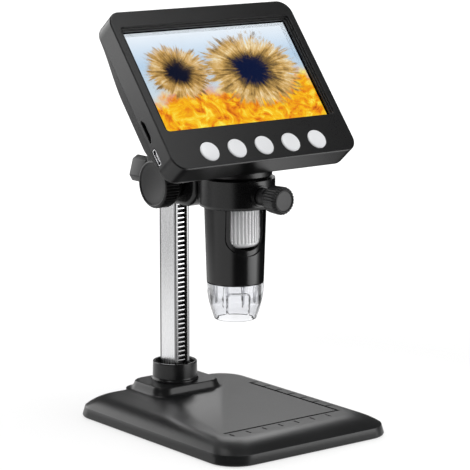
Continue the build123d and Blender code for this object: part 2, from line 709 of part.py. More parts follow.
def thumb_knob():
    """Built along Z from the ring outwards, then laid along -Y."""
    rear, edge, back_r = THUMB_L - THUMB_HEAD_L, THUMB_EDGE, THUMB_R - THUMB_TAPER
    knob = turned((0, 0), (THUMB_COLLAR_R, 0), (THUMB_COLLAR_R, THUMB_COLLAR_L),
                  (THUMB_NECK_R, THUMB_COLLAR_L + 0.5), (THUMB_NECK_R, rear), (back_r - 0.6, rear),
                  (back_r, rear + 0.6), (THUMB_R, THUMB_L - edge),
                  (THUMB_R - edge * 0.3, THUMB_L - edge * 0.3), (THUMB_R - edge, THUMB_L),
                  (THUMB_DISC_R, THUMB_L), (THUMB_DISC_R, THUMB_L - 0.35), (0, THUMB_L - 0.35))
    for i in range(THUMB_FLUTE_COUNT):
        flute = rod(THUMB_FLUTE_R, rear - 1, THUMB_L - edge / 2, THUMB_R + THUMB_FLUTE_R / 4)
        knob -= Rot(0, 0, 360 * i / THUMB_FLUTE_COUNT) * flute
    knob -= rod(THUMB_STUD_R, -1, THUMB_L - 3)
    return Pos(0, RING_FRONT - RING_BOSS_L - SEAT_GAP, THUMB_Z) * (Rot(90, 0, 0) * knob)


def thumb_stud():
    start = RING_FRONT - RING_BOSS_L - SEAT_GAP - THUMB_L + 3
    return rod_y(THUMB_STUD_R, start, AXIS_Y - RING_BORE - SEAT_GAP, 0, THUMB_Z)


# ------------------------------------------------------------------ screen housing
def case_prism(inset, w0, w1, corner=CASE_CORNER):
    return slab(FACE_W - 2 * inset, FACE_H - 2 * inset, corner - inset, w0, w1, 0, FACE_V)


def screen_opening():
    """Fine steps down to the picture at the sides and top, a plain edge below."""
    cut = None
    for i in range(STEP_COUNT):
        grow = STEP_RUN * (i + 1) / STEP_COUNT
        w, top, low = SCREEN_W + 2 * grow, SCREEN_H / 2 + grow, -SCREEN_H / 2 - LOWER_LIP
        z0 = FRONT_T * i / STEP_COUNT
        layer = slab(w, top - low, STEP_CORNER + grow / 2, z0, FRONT_T + 1, 0, (top + low) / 2)
        cut = layer if cut is None else cut + layer
    first = slab(SCREEN_W, SCREEN_H + LOWER_LIP, STEP_CORNER, -1, FRONT_T, 0, -LOWER_LIP / 2)
    return cut + first


def key_points():
    middle = (KEY_COUNT - 1) / 2
    return [((i - middle) * KEY_PITCH, KEY_V) for i in range(KEY_COUNT)]


def key_post_points():
    x = (KEY_COUNT - 1) / 2 * KEY_PITCH + KEY_R + KEY_FLANGE + KEY_POST_R + 1.0
    return [(-x, KEY_V), (x, KEY_V)]


def case_screw_points():
    x = FACE_W / 2 - CASE_BOSS_INSET
    return [(-x, FACE_UP - CASE_BOSS_INSET), (x, FACE_UP - CASE_BOSS_INSET),
            (-x, FACE_DOWN + CASE_BOSS_INSET), (x, FACE_DOWN + CASE_BOSS_INSET)]


def side_cuts():
    """Openings of the left wall: the socket, the card slot and its thumb scoop."""
    x0, x1 = -FACE_W / 2 - 1, -FACE_W / 2 + CASE_WALL + 1
    gap = PORT_GAP
    cut = block(x0, x1, PORT_V - PORT_W / 2 - gap, PORT_V + PORT_W / 2 + gap,
                MAIN_BACK - PORT_T - gap, MAIN_BACK + gap)
    slot_w = MAIN_BACK - CARD_T / 2
    cut += block(x0, x1, CARD_V - CARD_W / 2, CARD_V + CARD_W / 2,
                 MAIN_BACK - CARD_T + CARD_SHELL, MAIN_BACK - CARD_SHELL)
    half = CARD_W / 2
    r = (half ** 2 + SCOOP_H ** 2) / (2 * SCOOP_H)
    scoop = rod_x(r, x0, -FACE_W / 2 + SCOOP_DEPTH, CARD_V, slot_w + SCOOP_H - r)
    return cut + (scoop & block(x0, x1, CARD_V - half, CARD_V + half, slot_w, slot_w + 2 * SCOOP_H))


def front_bezel():
    body = case_prism(0, SEAM, FRONT_T)
    body = chamfer(body.edges().group_by(Axis.Z)[-1], FRONT_CHAMFER)
    body -= case_prism(CASE_WALL, SEAM - 1, 0)
    for x, v in case_screw_points():
        body += rod(CASE_BOSS_R, SEAM, 0.5, x, v)
    for x, v in key_post_points():
        body += rod(KEY_POST_R, KEY_BOARD_FRONT, 0.5, x, v)
    body -= screen_opening()
    for x, v in key_points():
        body -= rod(KEY_R + RUN_FIT, -1, FRONT_T + 1, x, v)
    for x, v in case_screw_points():
        body -= rod(CASE_SCREW_R + SCREW_FIT, SEAM - 1, SEAM + CASE_SCREW_L - CASE_WALL, x, v)
    return tilted(body - side_cuts())


def hump_form(inset, wall):
    """Raised back: a tapered plan cut by the curved side profile."""
    deep, edge = SEAM - HUMP + wall, SEAM - HUMP_EDGE + wall
    top, low, shut = FACE_UP + 2, FACE_DOWN - 2, SEAM + 3
    outline = Line((low, shut), (low, edge)) + Line((low, edge), (HUMP_END, edge))
    outline += Spline((HUMP_END, edge), (HUMP_LOW, deep), tangents=((1, 0), (1, 0)))
    outline += Line((HUMP_LOW, deep), (HUMP_FULL, deep))
    outline += Spline((HUMP_FULL, deep), (HUMP_TOP, edge), tangents=((1, 0), (1, 0)))
    outline += Line((HUMP_TOP, edge), (top, edge)) + Line((top, edge), (top, shut))
    outline += Line((top, shut), (low, shut))
    profile = extrude(Plane.YZ * make_face(outline), amount=FACE_W, both=True)
    plan = RectangleRounded(FACE_W - 2 * inset, FACE_H - 2 * inset, CASE_CORNER - inset)
    prism = Pos(0, FACE_V, SEAM) * extrude(plan, amount=-(HUMP + 1), taper=HUMP_TAPER)
    return prism & profile


def post_points():
    return [(-POST_X, POST_UP), (POST_X, POST_UP), (-POST_X, POST_LOW), (POST_X, POST_LOW)]


def back_shell():
    """Rear half of the housing with the upright neck that carries the tube."""
    neck_low = RING_TOP + SEAT_GAP
    upright = turned((0, neck_low), (NECK_R - NECK_ROUND, neck_low), (NECK_R, neck_low + NECK_ROUND),
                     (NECK_R, SCREEN_Z + SCREEN_H), (0, SCREEN_Z + SCREEN_H))
    upright = Pos(0, AXIS_Y, 0) * upright
    behind = tilted(block(-FACE_W, FACE_W, FACE_DOWN - 30, FACE_UP, SEAM - 70, SEAM - 0.2))
    shell = tilted(hump_form(0, 0)) + (upright & behind)
    shell -= tilted(case_prism(CASE_WALL, SEAM - 0.4, SEAM + 1))
    shell -= tilted(hump_form(CASE_WALL, CASE_WALL))
    bore = rod(NECK_R - NECK_WALL, neck_low + NECK_WALL, SCREEN_Z, 0, AXIS_Y)
    low, up = FACE_DOWN + CASE_WALL, FACE_UP - CASE_WALL
    inside = block(-FACE_W, FACE_W, low, up, SEAM - HUMP, SEAM + 1)
    below = block(-FACE_W, FACE_W, low - 50, up, SEAM - 70, SEAM - HUMP_EDGE)
    shell -= bore & tilted(inside + below)
    shell -= rod(TUBE_R + SCREW_FIT, neck_low - 1, neck_low + NECK_WALL + 1, 0, AXIS_Y)
    posts = None
    for x, v in post_points():
        post = rod(POST_R, SEAM - HUMP + 1.0, MAIN_BACK, x, v)
        posts = post if posts is None else posts + post
    shell += tilted(posts & (hump_form(0.5, 0.5) + case_prism(CASE_WALL, SEAM - 0.5, MAIN_BACK + 1)))
    for x, v in case_screw_points():
        hole = rod(CASE_SCREW_R + SCREW_FIT, SEAM - HUMP - 2, SEAM + 1, x, v)
        sink = rod(CASE_SCREW_HEAD_R + SCREW_FIT, SEAM - HUMP - 2, SEAM - 0.3, x, v)
        shell -= tilted(hole + (sink if HUMP_EDGE > 0.6 else hole))
    return shell


def case_screws():
    head_top = SEAM - 0.3
    return tilted(screws(case_screw_points(), CASE_SCREW_R, CASE_SCREW_HEAD_R, HUMP_EDGE - 0.35,
                         CASE_SCREW_L - CASE_WALL, head_top))


def screen_glass():
    w, h = SCREEN_W + 2 * GLASS_LIP, SCREEN_H + LOWER_LIP + 2 * GLASS_LIP
    return tilted(slab(w, h, 1.5, -GLASS_T, 0, 0, -LOWER_LIP / 2))


def lcd_panel():
    return tilted(slab(PANEL_W, PANEL_H, 0.8, -GLASS_T - PANEL_T, -GLASS_T, 0, -LOWER_LIP / 2))


def key_cap(index):
    """Push key: a slightly domed disc on a flange that stops behind the face."""
    x, v = key_points()[index]
    top = FRONT_T + KEY_PROUD
    flange = -KEY_GAP - KEY_FLANGE_T
    rim = KEY_R + KEY_FLANGE
    key = turned((0, flange), (rim, flange), (rim, -KEY_GAP), (KEY_R, -KEY_GAP), (KEY_R, top - KEY_DOME),
                 (KEY_R - 0.35, top - KEY_DOME / 2), (KEY_R * 0.6, top - 0.1), (0, top))
    return tilted(Pos(x, v, 0) * key)


def key_board():
    x = key_post_points()[1][0] + KEY_POST_R
    return tilted(block(-x, x, KEY_V - KEY_BOARD_H / 2, KEY_V + KEY_BOARD_H / 2,
                        MAIN_FRONT, KEY_BOARD_FRONT))


def key_switches():
    parts = []
    for x, v in key_points():
        can = Pos(x, v, KEY_BOARD_FRONT + SWITCH_T * 0.3) * Box(SWITCH, SWITCH, SWITCH_T * 0.6)
        parts.append(can + rod(1.6, KEY_BOARD_FRONT, KEY_BOARD_FRONT + SWITCH_T, x, v))
    return tilted(Compound(children=parts))


def main_board():
    low = KEY_V - KEY_BOARD_H / 2
    board = block(-MAIN_LEFT, MAIN_RIGHT, low, MAIN_UP, MAIN_BACK, MAIN_FRONT)
    x, v = case_screw_points()[2]
    r = CASE_BOSS_R + 0.5
    return tilted(board - block(x - 2 * r, x + r, v - 2 * r, v + r, MAIN_BACK - 1, MAIN_FRONT + 1))


def battery():
    return tilted(slab(BATTERY_W, BATTERY_H, 1.5, MAIN_BACK - BATTERY_T, MAIN_BACK, 0, BATTERY_UP))


def usb_port():
    """Metal socket shell whose mouth is flush with the left wall."""
    x0 = -FACE_W / 2 + 0.1
    s = PORT_SHELL
    v0, v1 = PORT_V - PORT_W / 2, PORT_V + PORT_W / 2
    shell = block(x0, x0 + PORT_L, v0, v1, MAIN_BACK - PORT_T, MAIN_BACK)
    shell = fillet(shell.edges().filter_by(Axis.X), PORT_CORNER)
    hollow = block(x0 - 1, x0 + PORT_L - 1, v0 + s, v1 - s, MAIN_BACK - PORT_T + s, MAIN_BACK - s)
    hollow = fillet(hollow.edges().filter_by(Axis.X), PORT_CORNER - s)
    tongue = block(x0 + 0.6, x0 + PORT_L - 1, v0 + 2, v1 - 2, MAIN_BACK - 1.8, MAIN_BACK - 1.1)
    return tilted(shell - hollow + tongue)


def card_socket():
    x0 = -FACE_W / 2 + CASE_WALL
    v0, v1 = CARD_V - CARD_W / 2 - 0.6, CARD_V + CARD_W / 2 + 0.6
    shell = block(x0, x0 + CARD_L, v0, v1, MAIN_BACK - CARD_T, MAIN_BACK)
    s = CARD_SHELL
    return tilted(shell - block(x0 - 1, x0 + CARD_L - 1, v0 + 0.6, v1 - 0.6,
                                MAIN_BACK - CARD_T + s, MAIN_BACK - s))


# ------------------------------------------------------------------ tube and optics
def tube_r(z):
    """Outer radius of the tapering part of the tube at height z."""
    share = (z - TUBE_LOW) / (RING_LOW - 0.5 - TUBE_LOW)
    return TUBE_LOW_R + (TUBE_TAPER_TOP - TUBE_LOW_R) * share


def window_form(width, low, end):
    """U-shaped prism with an oval lower end, from the axis outwards."""
    shape = Pos(0, low + end) * Ellipse(width / 2, end)
    shape += Pos(0, (WINDOW_TOP + low + end) / 2) * Rectangle(width, WINDOW_TOP - low - end)
    prism = extrude(Plane.XZ * shape, amount=30)
    return Pos(0, AXIS_Y, 0) * (Rot(0, 0, WINDOW_TURN) * prism)


def barrel_tube():
    z1 = RING_LOW - 0.5
    wall, low = TUBE_WALL, TUBE_LOW
    tube = turned((tube_r(low) - wall, low), (tube_r(low) - TUBE_ROUND, low),
                  (tube_r(low), low + TUBE_ROUND),
                  (tube_r(z1), z1), (TUBE_R, z1 + 0.3), (TUBE_R, TUBE_TOP), (TUBE_R - wall, TUBE_TOP),
                  (TUBE_R - wall, z1 + 0.3), (tube_r(z1) - wall, z1))
    seat = WHEEL_LOW - SEAT_GAP
    ledge = rod(tube_r(seat) - wall / 2, seat - LEDGE_T, seat) - rod(LEDGE_R, 0, seat + 1)
    rib = rod(tube_r(LED_Z) - wall / 2, LED_Z + BOARD_T, LED_Z + BOARD_T + 1.2)
    rib -= rod(LED_RING_R + 1.6, 0, LED_Z + 10)
    tube = Pos(0, AXIS_Y, 0) * (tube + ledge + rib)
    sunk, high = WINDOW_EDGE_DEPTH, WINDOW_TOP + 1
    shallow = turned((0, low), (tube_r(low) - sunk, low), (tube_r(high) - sunk, high), (0, high))
    shallow = Pos(0, AXIS_Y, 0) * shallow
    edge = window_form(WINDOW_W + 2 * WINDOW_EDGE, WINDOW_LOW - WINDOW_EDGE_LOW, WINDOW_END + WINDOW_EDGE)
    edge &= rod(TUBE_R + 5, 0, RING_LOW - 0.2, 0, AXIS_Y)
    tube -= edge - shallow
    return tube - window_form(WINDOW_W, WINDOW_LOW, WINDOW_END)


def focus_wheel():
    low, top = WHEEL_LOW, WHEEL_TOP
    teeth = ridged(WHEEL_R, WHEEL_RIDGE, WHEEL_RIDGE_COUNT, top - low - WHEEL_LIP)
    wheel = Pos(0, 0, low + WHEEL_LIP) * teeth
    wheel += turned((0, low), (WHEEL_R - 1.2, low), (WHEEL_R - 0.3, low + 0.8), (WHEEL_R, low + WHEEL_LIP),
                    (0, low + WHEEL_LIP))
    return Pos(0, AXIS_Y, 0) * (wheel - rod(WHEEL_BORE, low - 1, top + 1))


def wheel_retainer():
    low = WHEEL_TOP + SEAT_GAP
    top = low + RETAINER_T
    return rod(TUBE_BORE_TOP, low, top, 0, AXIS_Y) - rod(WHEEL_BORE, low - 1, top + 1, 0, AXIS_Y)


def lens_carrier():
    r = WHEEL_BORE - RUN_FIT
    carrier = rod(r, CARRIER_LOW, CARRIER_TOP)
    carrier -= rod(r - CARRIER_WALL - 1.0, CARRIER_LOW - 1, CARRIER_TOP + 1)
    carrier -= rod(r - CARRIER_WALL, CARRIER_LOW - 1, CARRIER_LOW + 1 + LENS_T)
    return Pos(0, AXIS_Y, 0) * carrier


def lens():
    r = WHEEL_BORE - RUN_FIT - CARRIER_WALL
    low = CARRIER_LOW + 1
    disc = turned((0, low - 0.7), (r * 0.6, low - 0.45), (r, low), (r, low + LENS_T), (0, low + LENS_T))
    return Pos(0, AXIS_Y, 0) * disc


def sensor_board():
    low = WHEEL_TOP + SEAT_GAP + RETAINER_T
    return rod(TUBE_BORE_TOP - 0.1, low, low + BOARD_T, 0, AXIS_Y)


def image_sensor():
    top = WHEEL_TOP + SEAT_GAP + RETAINER_T
    return block(-SENSOR / 2, SENSOR / 2, AXIS_Y - SENSOR / 2, AXIS_Y + SENSOR / 2, top - SENSOR_T, top)


def led_board():
    r = tube_r(LED_Z) - TUBE_WALL - 0.1
    return rod(r, LED_Z, LED_Z + BOARD_T, 0, AXIS_Y) - rod(LED_BORE, LED_Z - 1, LED_Z + 3, 0, AXIS_Y)


def leds():
    parts = []
    for i in range(LED_COUNT):
        chip = Pos(LED_RING_R, 0, LED_Z - LED_T / 2) * Box(LED_SIZE, LED_SIZE, LED_T)
        parts.append(Pos(0, AXIS_Y, 0) * (Rot(0, 0, 360 * i / LED_COUNT) * chip))
    return Compound(children=parts)


def hood():
    """Clear hood: collar under the tube, convex taper to an open mouth."""
    wall, bore = HOOD_WALL, tube_r(TUBE_LOW) - TUBE_WALL
    band, top = TUBE_LOW_R - 0.1, TUBE_LOW + HOOD_SPIGOT
    outer = [(HOOD_LOW_R - 0.3, HOOD_LOW), (HOOD_LOW_R, HOOD_LOW + 0.3), (HOOD_BELLY_R, HOOD_BELLY_Z),
             (HOOD_SHOULDER_R, HOOD_SHOULDER), (band, HOOD_SHOULDER), (band, TUBE_LOW), (bore, TUBE_LOW),
             (bore, top)]
    inner = [(bore - 1.2, top), (bore - 1.2, TUBE_LOW), (HOOD_SHOULDER_R - wall, HOOD_SHOULDER),
             (HOOD_BELLY_R - wall, HOOD_BELLY_Z), (HOOD_LOW_R - wall, HOOD_LOW)]
    cup = turned(*outer, *inner)
    shape = Rectangle(ARCH_W, ARCH_TOP - HOOD_LOW - 3)
    shape = fillet(shape.vertices().group_by(Axis.Y)[-1], ARCH_CORNER)
    arch = extrude(Plane.XZ * (Pos(0, (ARCH_TOP + HOOD_LOW + 3) / 2) * shape), amount=30)
    sunk = ARCH_DEPTH
    core = turned((0, HOOD_LOW), (HOOD_LOW_R - sunk, HOOD_LOW), (HOOD_BELLY_R - sunk, HOOD_BELLY_Z),
                  (HOOD_SHOULDER_R - sunk, HOOD_SHOULDER), (0, HOOD_SHOULDER))
    for turn in (ARCH_TURN, ARCH_TURN + 180):
        cup -= Rot(0, 0, turn) * arch - core
    return Pos(0, AXIS_Y, 0) * cup


# ------------------------------------------------------------------ all pieces
PIECES = {
    "base_shell": base_shell, "base_plate": base_plate, "base_pad": base_pad, "ballast": ballast,
    "base_screws": base_screws, "foot_plate": foot_plate, "foot_screws": foot_screws,
    "column_bolt": column_bolt, "column_collar": column_collar, "column": column, "column_cap": column_cap,
    "rack": rack, "pinion_gear": pinion_gear, "drive_shaft": drive_shaft,
    "knob_left": knob_left, "knob_right": knob_right, "carriage_body": carriage_body,
    "guide_liner": guide_liner, "brake_pad": brake_pad, "shaft_bushes": shaft_bushes,
    "ring_liner": ring_liner, "lock_knob": lock_knob, "lock_stud": lock_stud,
    "thumb_knob": thumb_knob, "thumb_stud": thumb_stud, "front_bezel": front_bezel,
    "back_shell": back_shell, "case_screws": case_screws, "screen_glass": screen_glass,
    "lcd_panel": lcd_panel, "key_board": key_board, "key_switches": key_switches,
    "main_board": main_board, "battery": battery, "usb_port": usb_port, "card_socket": card_socket,
    "barrel_tube": barrel_tube, "focus_wheel": focus_wheel, "wheel_retainer": wheel_retainer,
    "lens_carrier": lens_carrier, "lens": lens, "sensor_board": sensor_board,
    "image_sensor": image_sensor, "led_board": led_board, "leds": leds, "hood": hood,
}

os.makedirs("parts", exist_ok=True)
for name, make in PIECES.items():
    export_step(make(), "parts/" + name + ".step")
for index in range(KEY_COUNT):
    export_step(key_cap(index), "parts/key_" + str(index + 1) + ".step")
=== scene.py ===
"""Looks of a portable microscope with a screen: finishes, fine pieces, light and camera."""
import math

import bmesh
import bpy
from bpy.props import FloatProperty, FloatVectorProperty, IntProperty, PointerProperty
from mathutils import Matrix, Vector


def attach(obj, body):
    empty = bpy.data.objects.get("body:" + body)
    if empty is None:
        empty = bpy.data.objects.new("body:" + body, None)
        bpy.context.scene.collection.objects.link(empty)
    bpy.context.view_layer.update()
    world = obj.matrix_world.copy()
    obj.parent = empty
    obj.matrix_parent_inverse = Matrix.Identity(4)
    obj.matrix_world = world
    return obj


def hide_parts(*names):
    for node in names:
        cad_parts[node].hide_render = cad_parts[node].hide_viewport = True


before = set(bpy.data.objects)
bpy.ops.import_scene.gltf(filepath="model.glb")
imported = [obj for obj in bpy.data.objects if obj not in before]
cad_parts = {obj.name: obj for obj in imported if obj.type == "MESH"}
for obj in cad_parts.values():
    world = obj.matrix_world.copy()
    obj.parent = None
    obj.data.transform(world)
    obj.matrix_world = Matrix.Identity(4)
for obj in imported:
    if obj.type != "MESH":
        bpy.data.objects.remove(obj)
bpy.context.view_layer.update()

bl_info = {
    "name": "Screen Microscope Finish",
    "version": (1, 0, 0),
    "blender": (4, 5, 0),
    "location": "View3D > Sidebar > Microscope",
    "description": "Finishes, fine pieces, light and camera for a portable microscope",
    "category": "Object",
}

MM = 0.001
FLAT = 30.0  # edges sharper than this stay sharp in the shading, degrees

# ---- places, in millimetres
AXIS = Vector((0.0, -3.4, 0.0))  # optical axis of the tube
DRIVE = Vector((0.0, 34.825, 120.0))  # middle of the drive shaft
THUMB = Vector((0.0, -24.95, 119.5))  # seat of the thumbscrew on the ring
LOCK = Vector((0.0, 60.35, 120.6))  # seat of the column lock knob
COLUMN = Vector((0.0, 47.45, 0.0))  # middle of the column
SCREEN = Vector((0.0, 2.75, 176.1))  # middle of the picture
SCREEN_TILT = math.radians(50.6)
PICTURE = (98.6, 56.2)
KEY_PITCH, KEY_ROW = 16.5, -42.45  # between the keys, and their row on the screen's face
COLUMN_DEPTH = (40.5, 54.4)  # front and back of the column
TOOTH_DEPTH = (41.7, 43.4)  # tips and roots of the rack's teeth
CAMERA_SIDE = math.radians(232.2)  # direction of the viewer in plan, from +X


# ---- nodes of a material
class Finish:
    """Builds one material: a Principled shader with its nodes, on Object coordinates."""

    def __init__(self, name):
        self.material = bpy.data.materials.new(name)
        self.material.use_nodes = True
        tree = self.material.node_tree
        self.nodes, self.links = tree.nodes, tree.links
        self.shader = self.nodes["Principled BSDF"]
        self.output = self.nodes["Material Output"]
        self.place = self.nodes.new("ShaderNodeTexCoord").outputs["Object"]

    def put(self, target, value):
        if isinstance(value, bpy.types.NodeSocket):
            self.links.new(value, target)
        else:
            target.default_value = value

    def set(self, **values):
        """Writes plain values or links on the shader's own sockets."""
        for key, value in values.items():
            self.put(self.shader.inputs[key.replace("_", " ")], value)

    def mapped(self, scale=(1, 1, 1), turn=(0, 0, 0), shift=(0, 0, 0), kind="POINT"):
        node = self.nodes.new("ShaderNodeMapping")
        node.vector_type = kind
        node.inputs["Location"].default_value = shift
        node.inputs["Rotation"].default_value = turn
        node.inputs["Scale"].default_value = scale
        self.links.new(self.place, node.inputs["Vector"])
        return node.outputs["Vector"]

    def noise(self, scale, detail=3.0, rough=0.5, where=None, twist=0.0):
        node = self.nodes.new("ShaderNodeTexNoise")
        self.links.new(where or self.place, node.inputs["Vector"])
        node.inputs["Scale"].default_value = scale
        node.inputs["Detail"].default_value = detail
        node.inputs["Roughness"].default_value = rough
        node.inputs["Distortion"].default_value = twist
        return node.outputs["Fac"]

    def ramp(self, value, *stops):
        node = self.nodes.new("ShaderNodeValToRGB")
        ramp = node.color_ramp
        while len(ramp.elements) < len(stops):
            ramp.elements.new(0.5)
        for element, (at, colour) in zip(ramp.elements, stops):
            element.position = at
            element.color = (*colour[:3], 1.0)
        self.links.new(value, node.inputs["Fac"])
        return node.outputs["Color"]

    def between(self, value, low, high, start=0.0, end=1.0, smooth=False):
        node = self.nodes.new("ShaderNodeMapRange")
        node.interpolation_type = "SMOOTHSTEP" if smooth else "LINEAR"
        self.links.new(value, node.inputs["Value"])
        for key, number in (("From Min", start), ("From Max", end), ("To Min", low), ("To Max", high)):
            node.inputs[key].default_value = number
        return node.outputs["Result"]

    def math(self, kind, a, b=0.0):
        node = self.nodes.new("ShaderNodeMath")
        node.operation = kind
        for socket, value in zip(node.inputs, (a, b)):
            self.put(socket, value)
        return node.outputs["Value"]

    def mix(self, share, a, b):
        node = self.nodes.new("ShaderNodeMix")
        node.data_type = "RGBA"
        self.put(node.inputs["Factor"], share)
        for socket, value in ((node.inputs[6], a), (node.inputs[7], b)):
            self.put(socket, value if isinstance(value, bpy.types.NodeSocket) else (*value[:3], 1.0))
        return node.outputs[2]

    def axes(self, where=None):
        node = self.nodes.new("ShaderNodeSeparateXYZ")
        self.links.new(where or self.place, node.inputs["Vector"])
        return node.outputs

    def vector(self, x, y, z=0.0):
        node = self.nodes.new("ShaderNodeCombineXYZ")
        for socket, value in zip(node.inputs, (x, y, z)):
            self.put(socket, value)
        return node.outputs["Vector"]

    def round_edges(self, radius):
        """Softens the shading of the edges by a small radius."""
        node = self.nodes.new("ShaderNodeBevel")
        node.samples = 6
        node.inputs["Radius"].default_value = radius
        return node.outputs["Normal"]

    def bump(self, height, strength, depth, normal=None):
        node = self.nodes.new("ShaderNodeBump")
        node.inputs["Strength"].default_value = strength
        node.inputs["Distance"].default_value = depth
        self.links.new(height, node.inputs["Height"])
        if normal is not None:
            self.links.new(normal, node.inputs["Normal"])
        self.links.new(node.outputs["Normal"], self.shader.inputs["Normal"])

    def done(self):
        return self.material


def shade(colour, factor):
    return tuple(min(1.0, c * factor) for c in colour[:3])


def moulded(name, colour, rough=0.36, grain=0.22, edge=0.25):
    """Moulded plastic with a fine spark-eroded grain and faint rubbed patches."""
    f = Finish(name)
    cloud = f.noise(28.0, 2.0)
    f.set(Base_Color=f.ramp(cloud, (0.3, shade(colour, 0.9)), (0.7, shade(colour, 1.1))))
    fine = f.noise(2600.0, 2.0, 0.6)
    f.set(Roughness=f.between(f.math("ADD", fine, f.math("MULTIPLY", cloud, 0.6)),
                              rough - 0.04, rough + 0.06, 0.4, 1.2))
    f.bump(fine, grain, 0.015 * MM, f.round_edges(edge * MM))
    return f.done()


def brushed(name, colour, rough, front, back):
    """Drawn aluminium with fine lines along Z, darkened on its front lips and at its back edge with painted
    shade.
    """
    f = Finish(name)
    lines = f.noise(1.0, 3.0, 0.6, f.mapped((4200, 4200, 60)))
    depth = f.axes()["Y"]
    # Painted shade: the front lips are darkened by position to hold back the lamps' reflection there.
    lip = f.between(depth, 1.0, 0.0, (front + 0.8) * MM, (front + 1.2) * MM, smooth=True)
    # Painted shade: a dark strip along the back edge stands in for the shadow of a step.
    edge = f.between(depth, 0.0, 1.0, (back - 1.9) * MM, (back - 1.5) * MM, smooth=True)
    tone = f.ramp(lines, (0.3, shade(colour, 0.93)), (0.7, colour[:3]))
    # Painted shade mixed in at the front lips, then at the back strip.
    tone = f.mix(f.math("MULTIPLY", lip, 0.75), tone, shade(colour, 0.1))
    f.set(Base_Color=f.mix(f.math("MULTIPLY", edge, 0.85), tone, shade(colour, 0.1)), Metallic=1.0)
    f.set(Roughness=f.between(lines, rough - 0.06, rough + 0.08))
    f.bump(lines, 0.12, 0.006 * MM, f.round_edges(0.3 * MM))
    return f.done()


def plated(name, colour, rough=0.25):
    """Plated steel with faint wipe marks."""
    f = Finish(name)
    marks = f.noise(350.0, 4.0, 0.6)
    f.set(Base_Color=f.ramp(marks, (0.3, shade(colour, 0.85)), (0.7, colour[:3])), Metallic=1.0)
    f.set(Roughness=f.between(marks, rough - 0.05, rough + 0.12))
    f.bump(marks, 0.15, 0.02 * MM, f.round_edges(0.15 * MM))
    return f.done()


def toothed(name, colour, tip, root):
    """Steel rack, bright on the tooth tips and darkened towards the roots with painted shade."""
    f = Finish(name)
    depth = f.between(f.axes()["Y"], 0.0, 1.0, tip * MM, root * MM)
    marks = f.noise(700.0, 4.0, 0.6)
    # Painted shade: darker with depth towards the tooth roots, varied by fine marks.
    root_shade_and_marks = f.math("ADD", depth, f.between(marks, -0.12, 0.12))
    f.set(Base_Color=f.ramp(root_shade_and_marks, (0.30, colour[:3]), (0.62, shade(colour, 0.14))), Metallic=1.0)
    f.set(Roughness=f.between(root_shade_and_marks, 0.22, 0.5))
    f.bump(marks, 0.15, 0.02 * MM, f.round_edges(0.12 * MM))
    return f.done()


def silvered(name, colour):
    """Silver-painted plastic with a fine metal flake."""
    f = Finish(name)
    flake = f.noise(3800.0, 2.0, 0.7)
    f.set(Base_Color=f.ramp(flake, (0.3, shade(colour, 0.86)), (0.7, shade(colour, 1.08))), Metallic=0.15)
    f.set(Roughness=f.between(flake, 0.26, 0.38))
    f.bump(flake, 0.12, 0.01 * MM, f.round_edges(0.1 * MM))
    return f.done()


def clear(name, colour, rough=0.03, bend=1.49, flow_mark=0.08):
    """Clear plastic or glass, a little uneven where it is moulded."""
    f = Finish(name)
    flow = f.noise(160.0, 2.0)
    f.set(Base_Color=f.ramp(flow, (0.3, shade(colour, 0.98)), (0.7, colour[:3])))
    f.set(Transmission_Weight=1.0, IOR=bend)
    f.set(Roughness=f.between(flow, rough * 0.5, rough * 1.6))
    if flow_mark:
        f.bump(flow, flow_mark, 0.1 * MM)
    return f.done()


def circuit(name, colour):
    """Solder-masked board with fine tracks."""
    f = Finish(name)
    cells = f.nodes.new("ShaderNodeTexVoronoi")
    cells.distance = "CHEBYCHEV"
    f.links.new(f.place, cells.inputs["Vector"])
    cells.inputs["Scale"].default_value = 420.0
    track = cells.outputs["Distance"]
    f.set(Base_Color=f.ramp(track, (0.45, colour[:3]), (0.55, shade(colour, 1.9))))
    f.set(Roughness=f.between(f.noise(900.0), 0.3, 0.45))
    f.bump(track, 0.3, 0.03 * MM)
    return f.done()


def rubber(name, colour):
    """Matt rubber sheet with a fine cast texture."""
    f = Finish(name)
    grain = f.noise(1400.0, 4.0, 0.7)
    f.set(Base_Color=f.ramp(grain, (0.3, shade(colour, 0.8)), (0.7, shade(colour, 1.2))))
    f.set(Roughness=f.between(grain, 0.78, 0.92))
    f.bump(grain, 0.4, 0.05 * MM)
    return f.done()


def seed_head(f, u, v, middle, radius, stretch, dark, light):
    """Share and colour of one fuzzy round seed head: fine hairs that spread from its middle."""
    du = f.math("DIVIDE", f.math("SUBTRACT", u, middle[0]), stretch)
    dv = f.math("SUBTRACT", v, middle[1])
    far = f.math("SQRT", f.math("ADD", f.math("MULTIPLY", du, du), f.math("MULTIPLY", dv, dv)))
    angle = f.math("ARCTAN2", dv, du)
    strand = f.vector(f.math("MULTIPLY", angle, 9.0), f.math("MULTIPLY", far, 0.10))
    hair = f.noise(1.0, 4.0, 0.65, strand, 0.4)
    clump = f.noise(0.16, 3.0, 0.6, f.vector(u, v, middle[0]))
    reach = f.math("ADD", far, f.between(hair, -0.34 * radius, 0.34 * radius, 0.2, 0.8))
    share = f.between(reach, 1.0, 0.0, radius * 0.9, radius * 1.08, smooth=True)
    tone = f.math("ADD", f.math("MULTIPLY", hair, 0.7), f.math("MULTIPLY", clump, 0.55))
    core = f.between(far, 0.62, 0.0, 0.0, radius * 0.72, smooth=True)
    tone = f.math("SUBTRACT", tone, core)
    colour = f.ramp(tone, (0.30, dark), (0.47, shade(light, 0.30)), (0.62, light),
                    (0.80, (0.98, 0.85, 0.55)))
    return share, colour


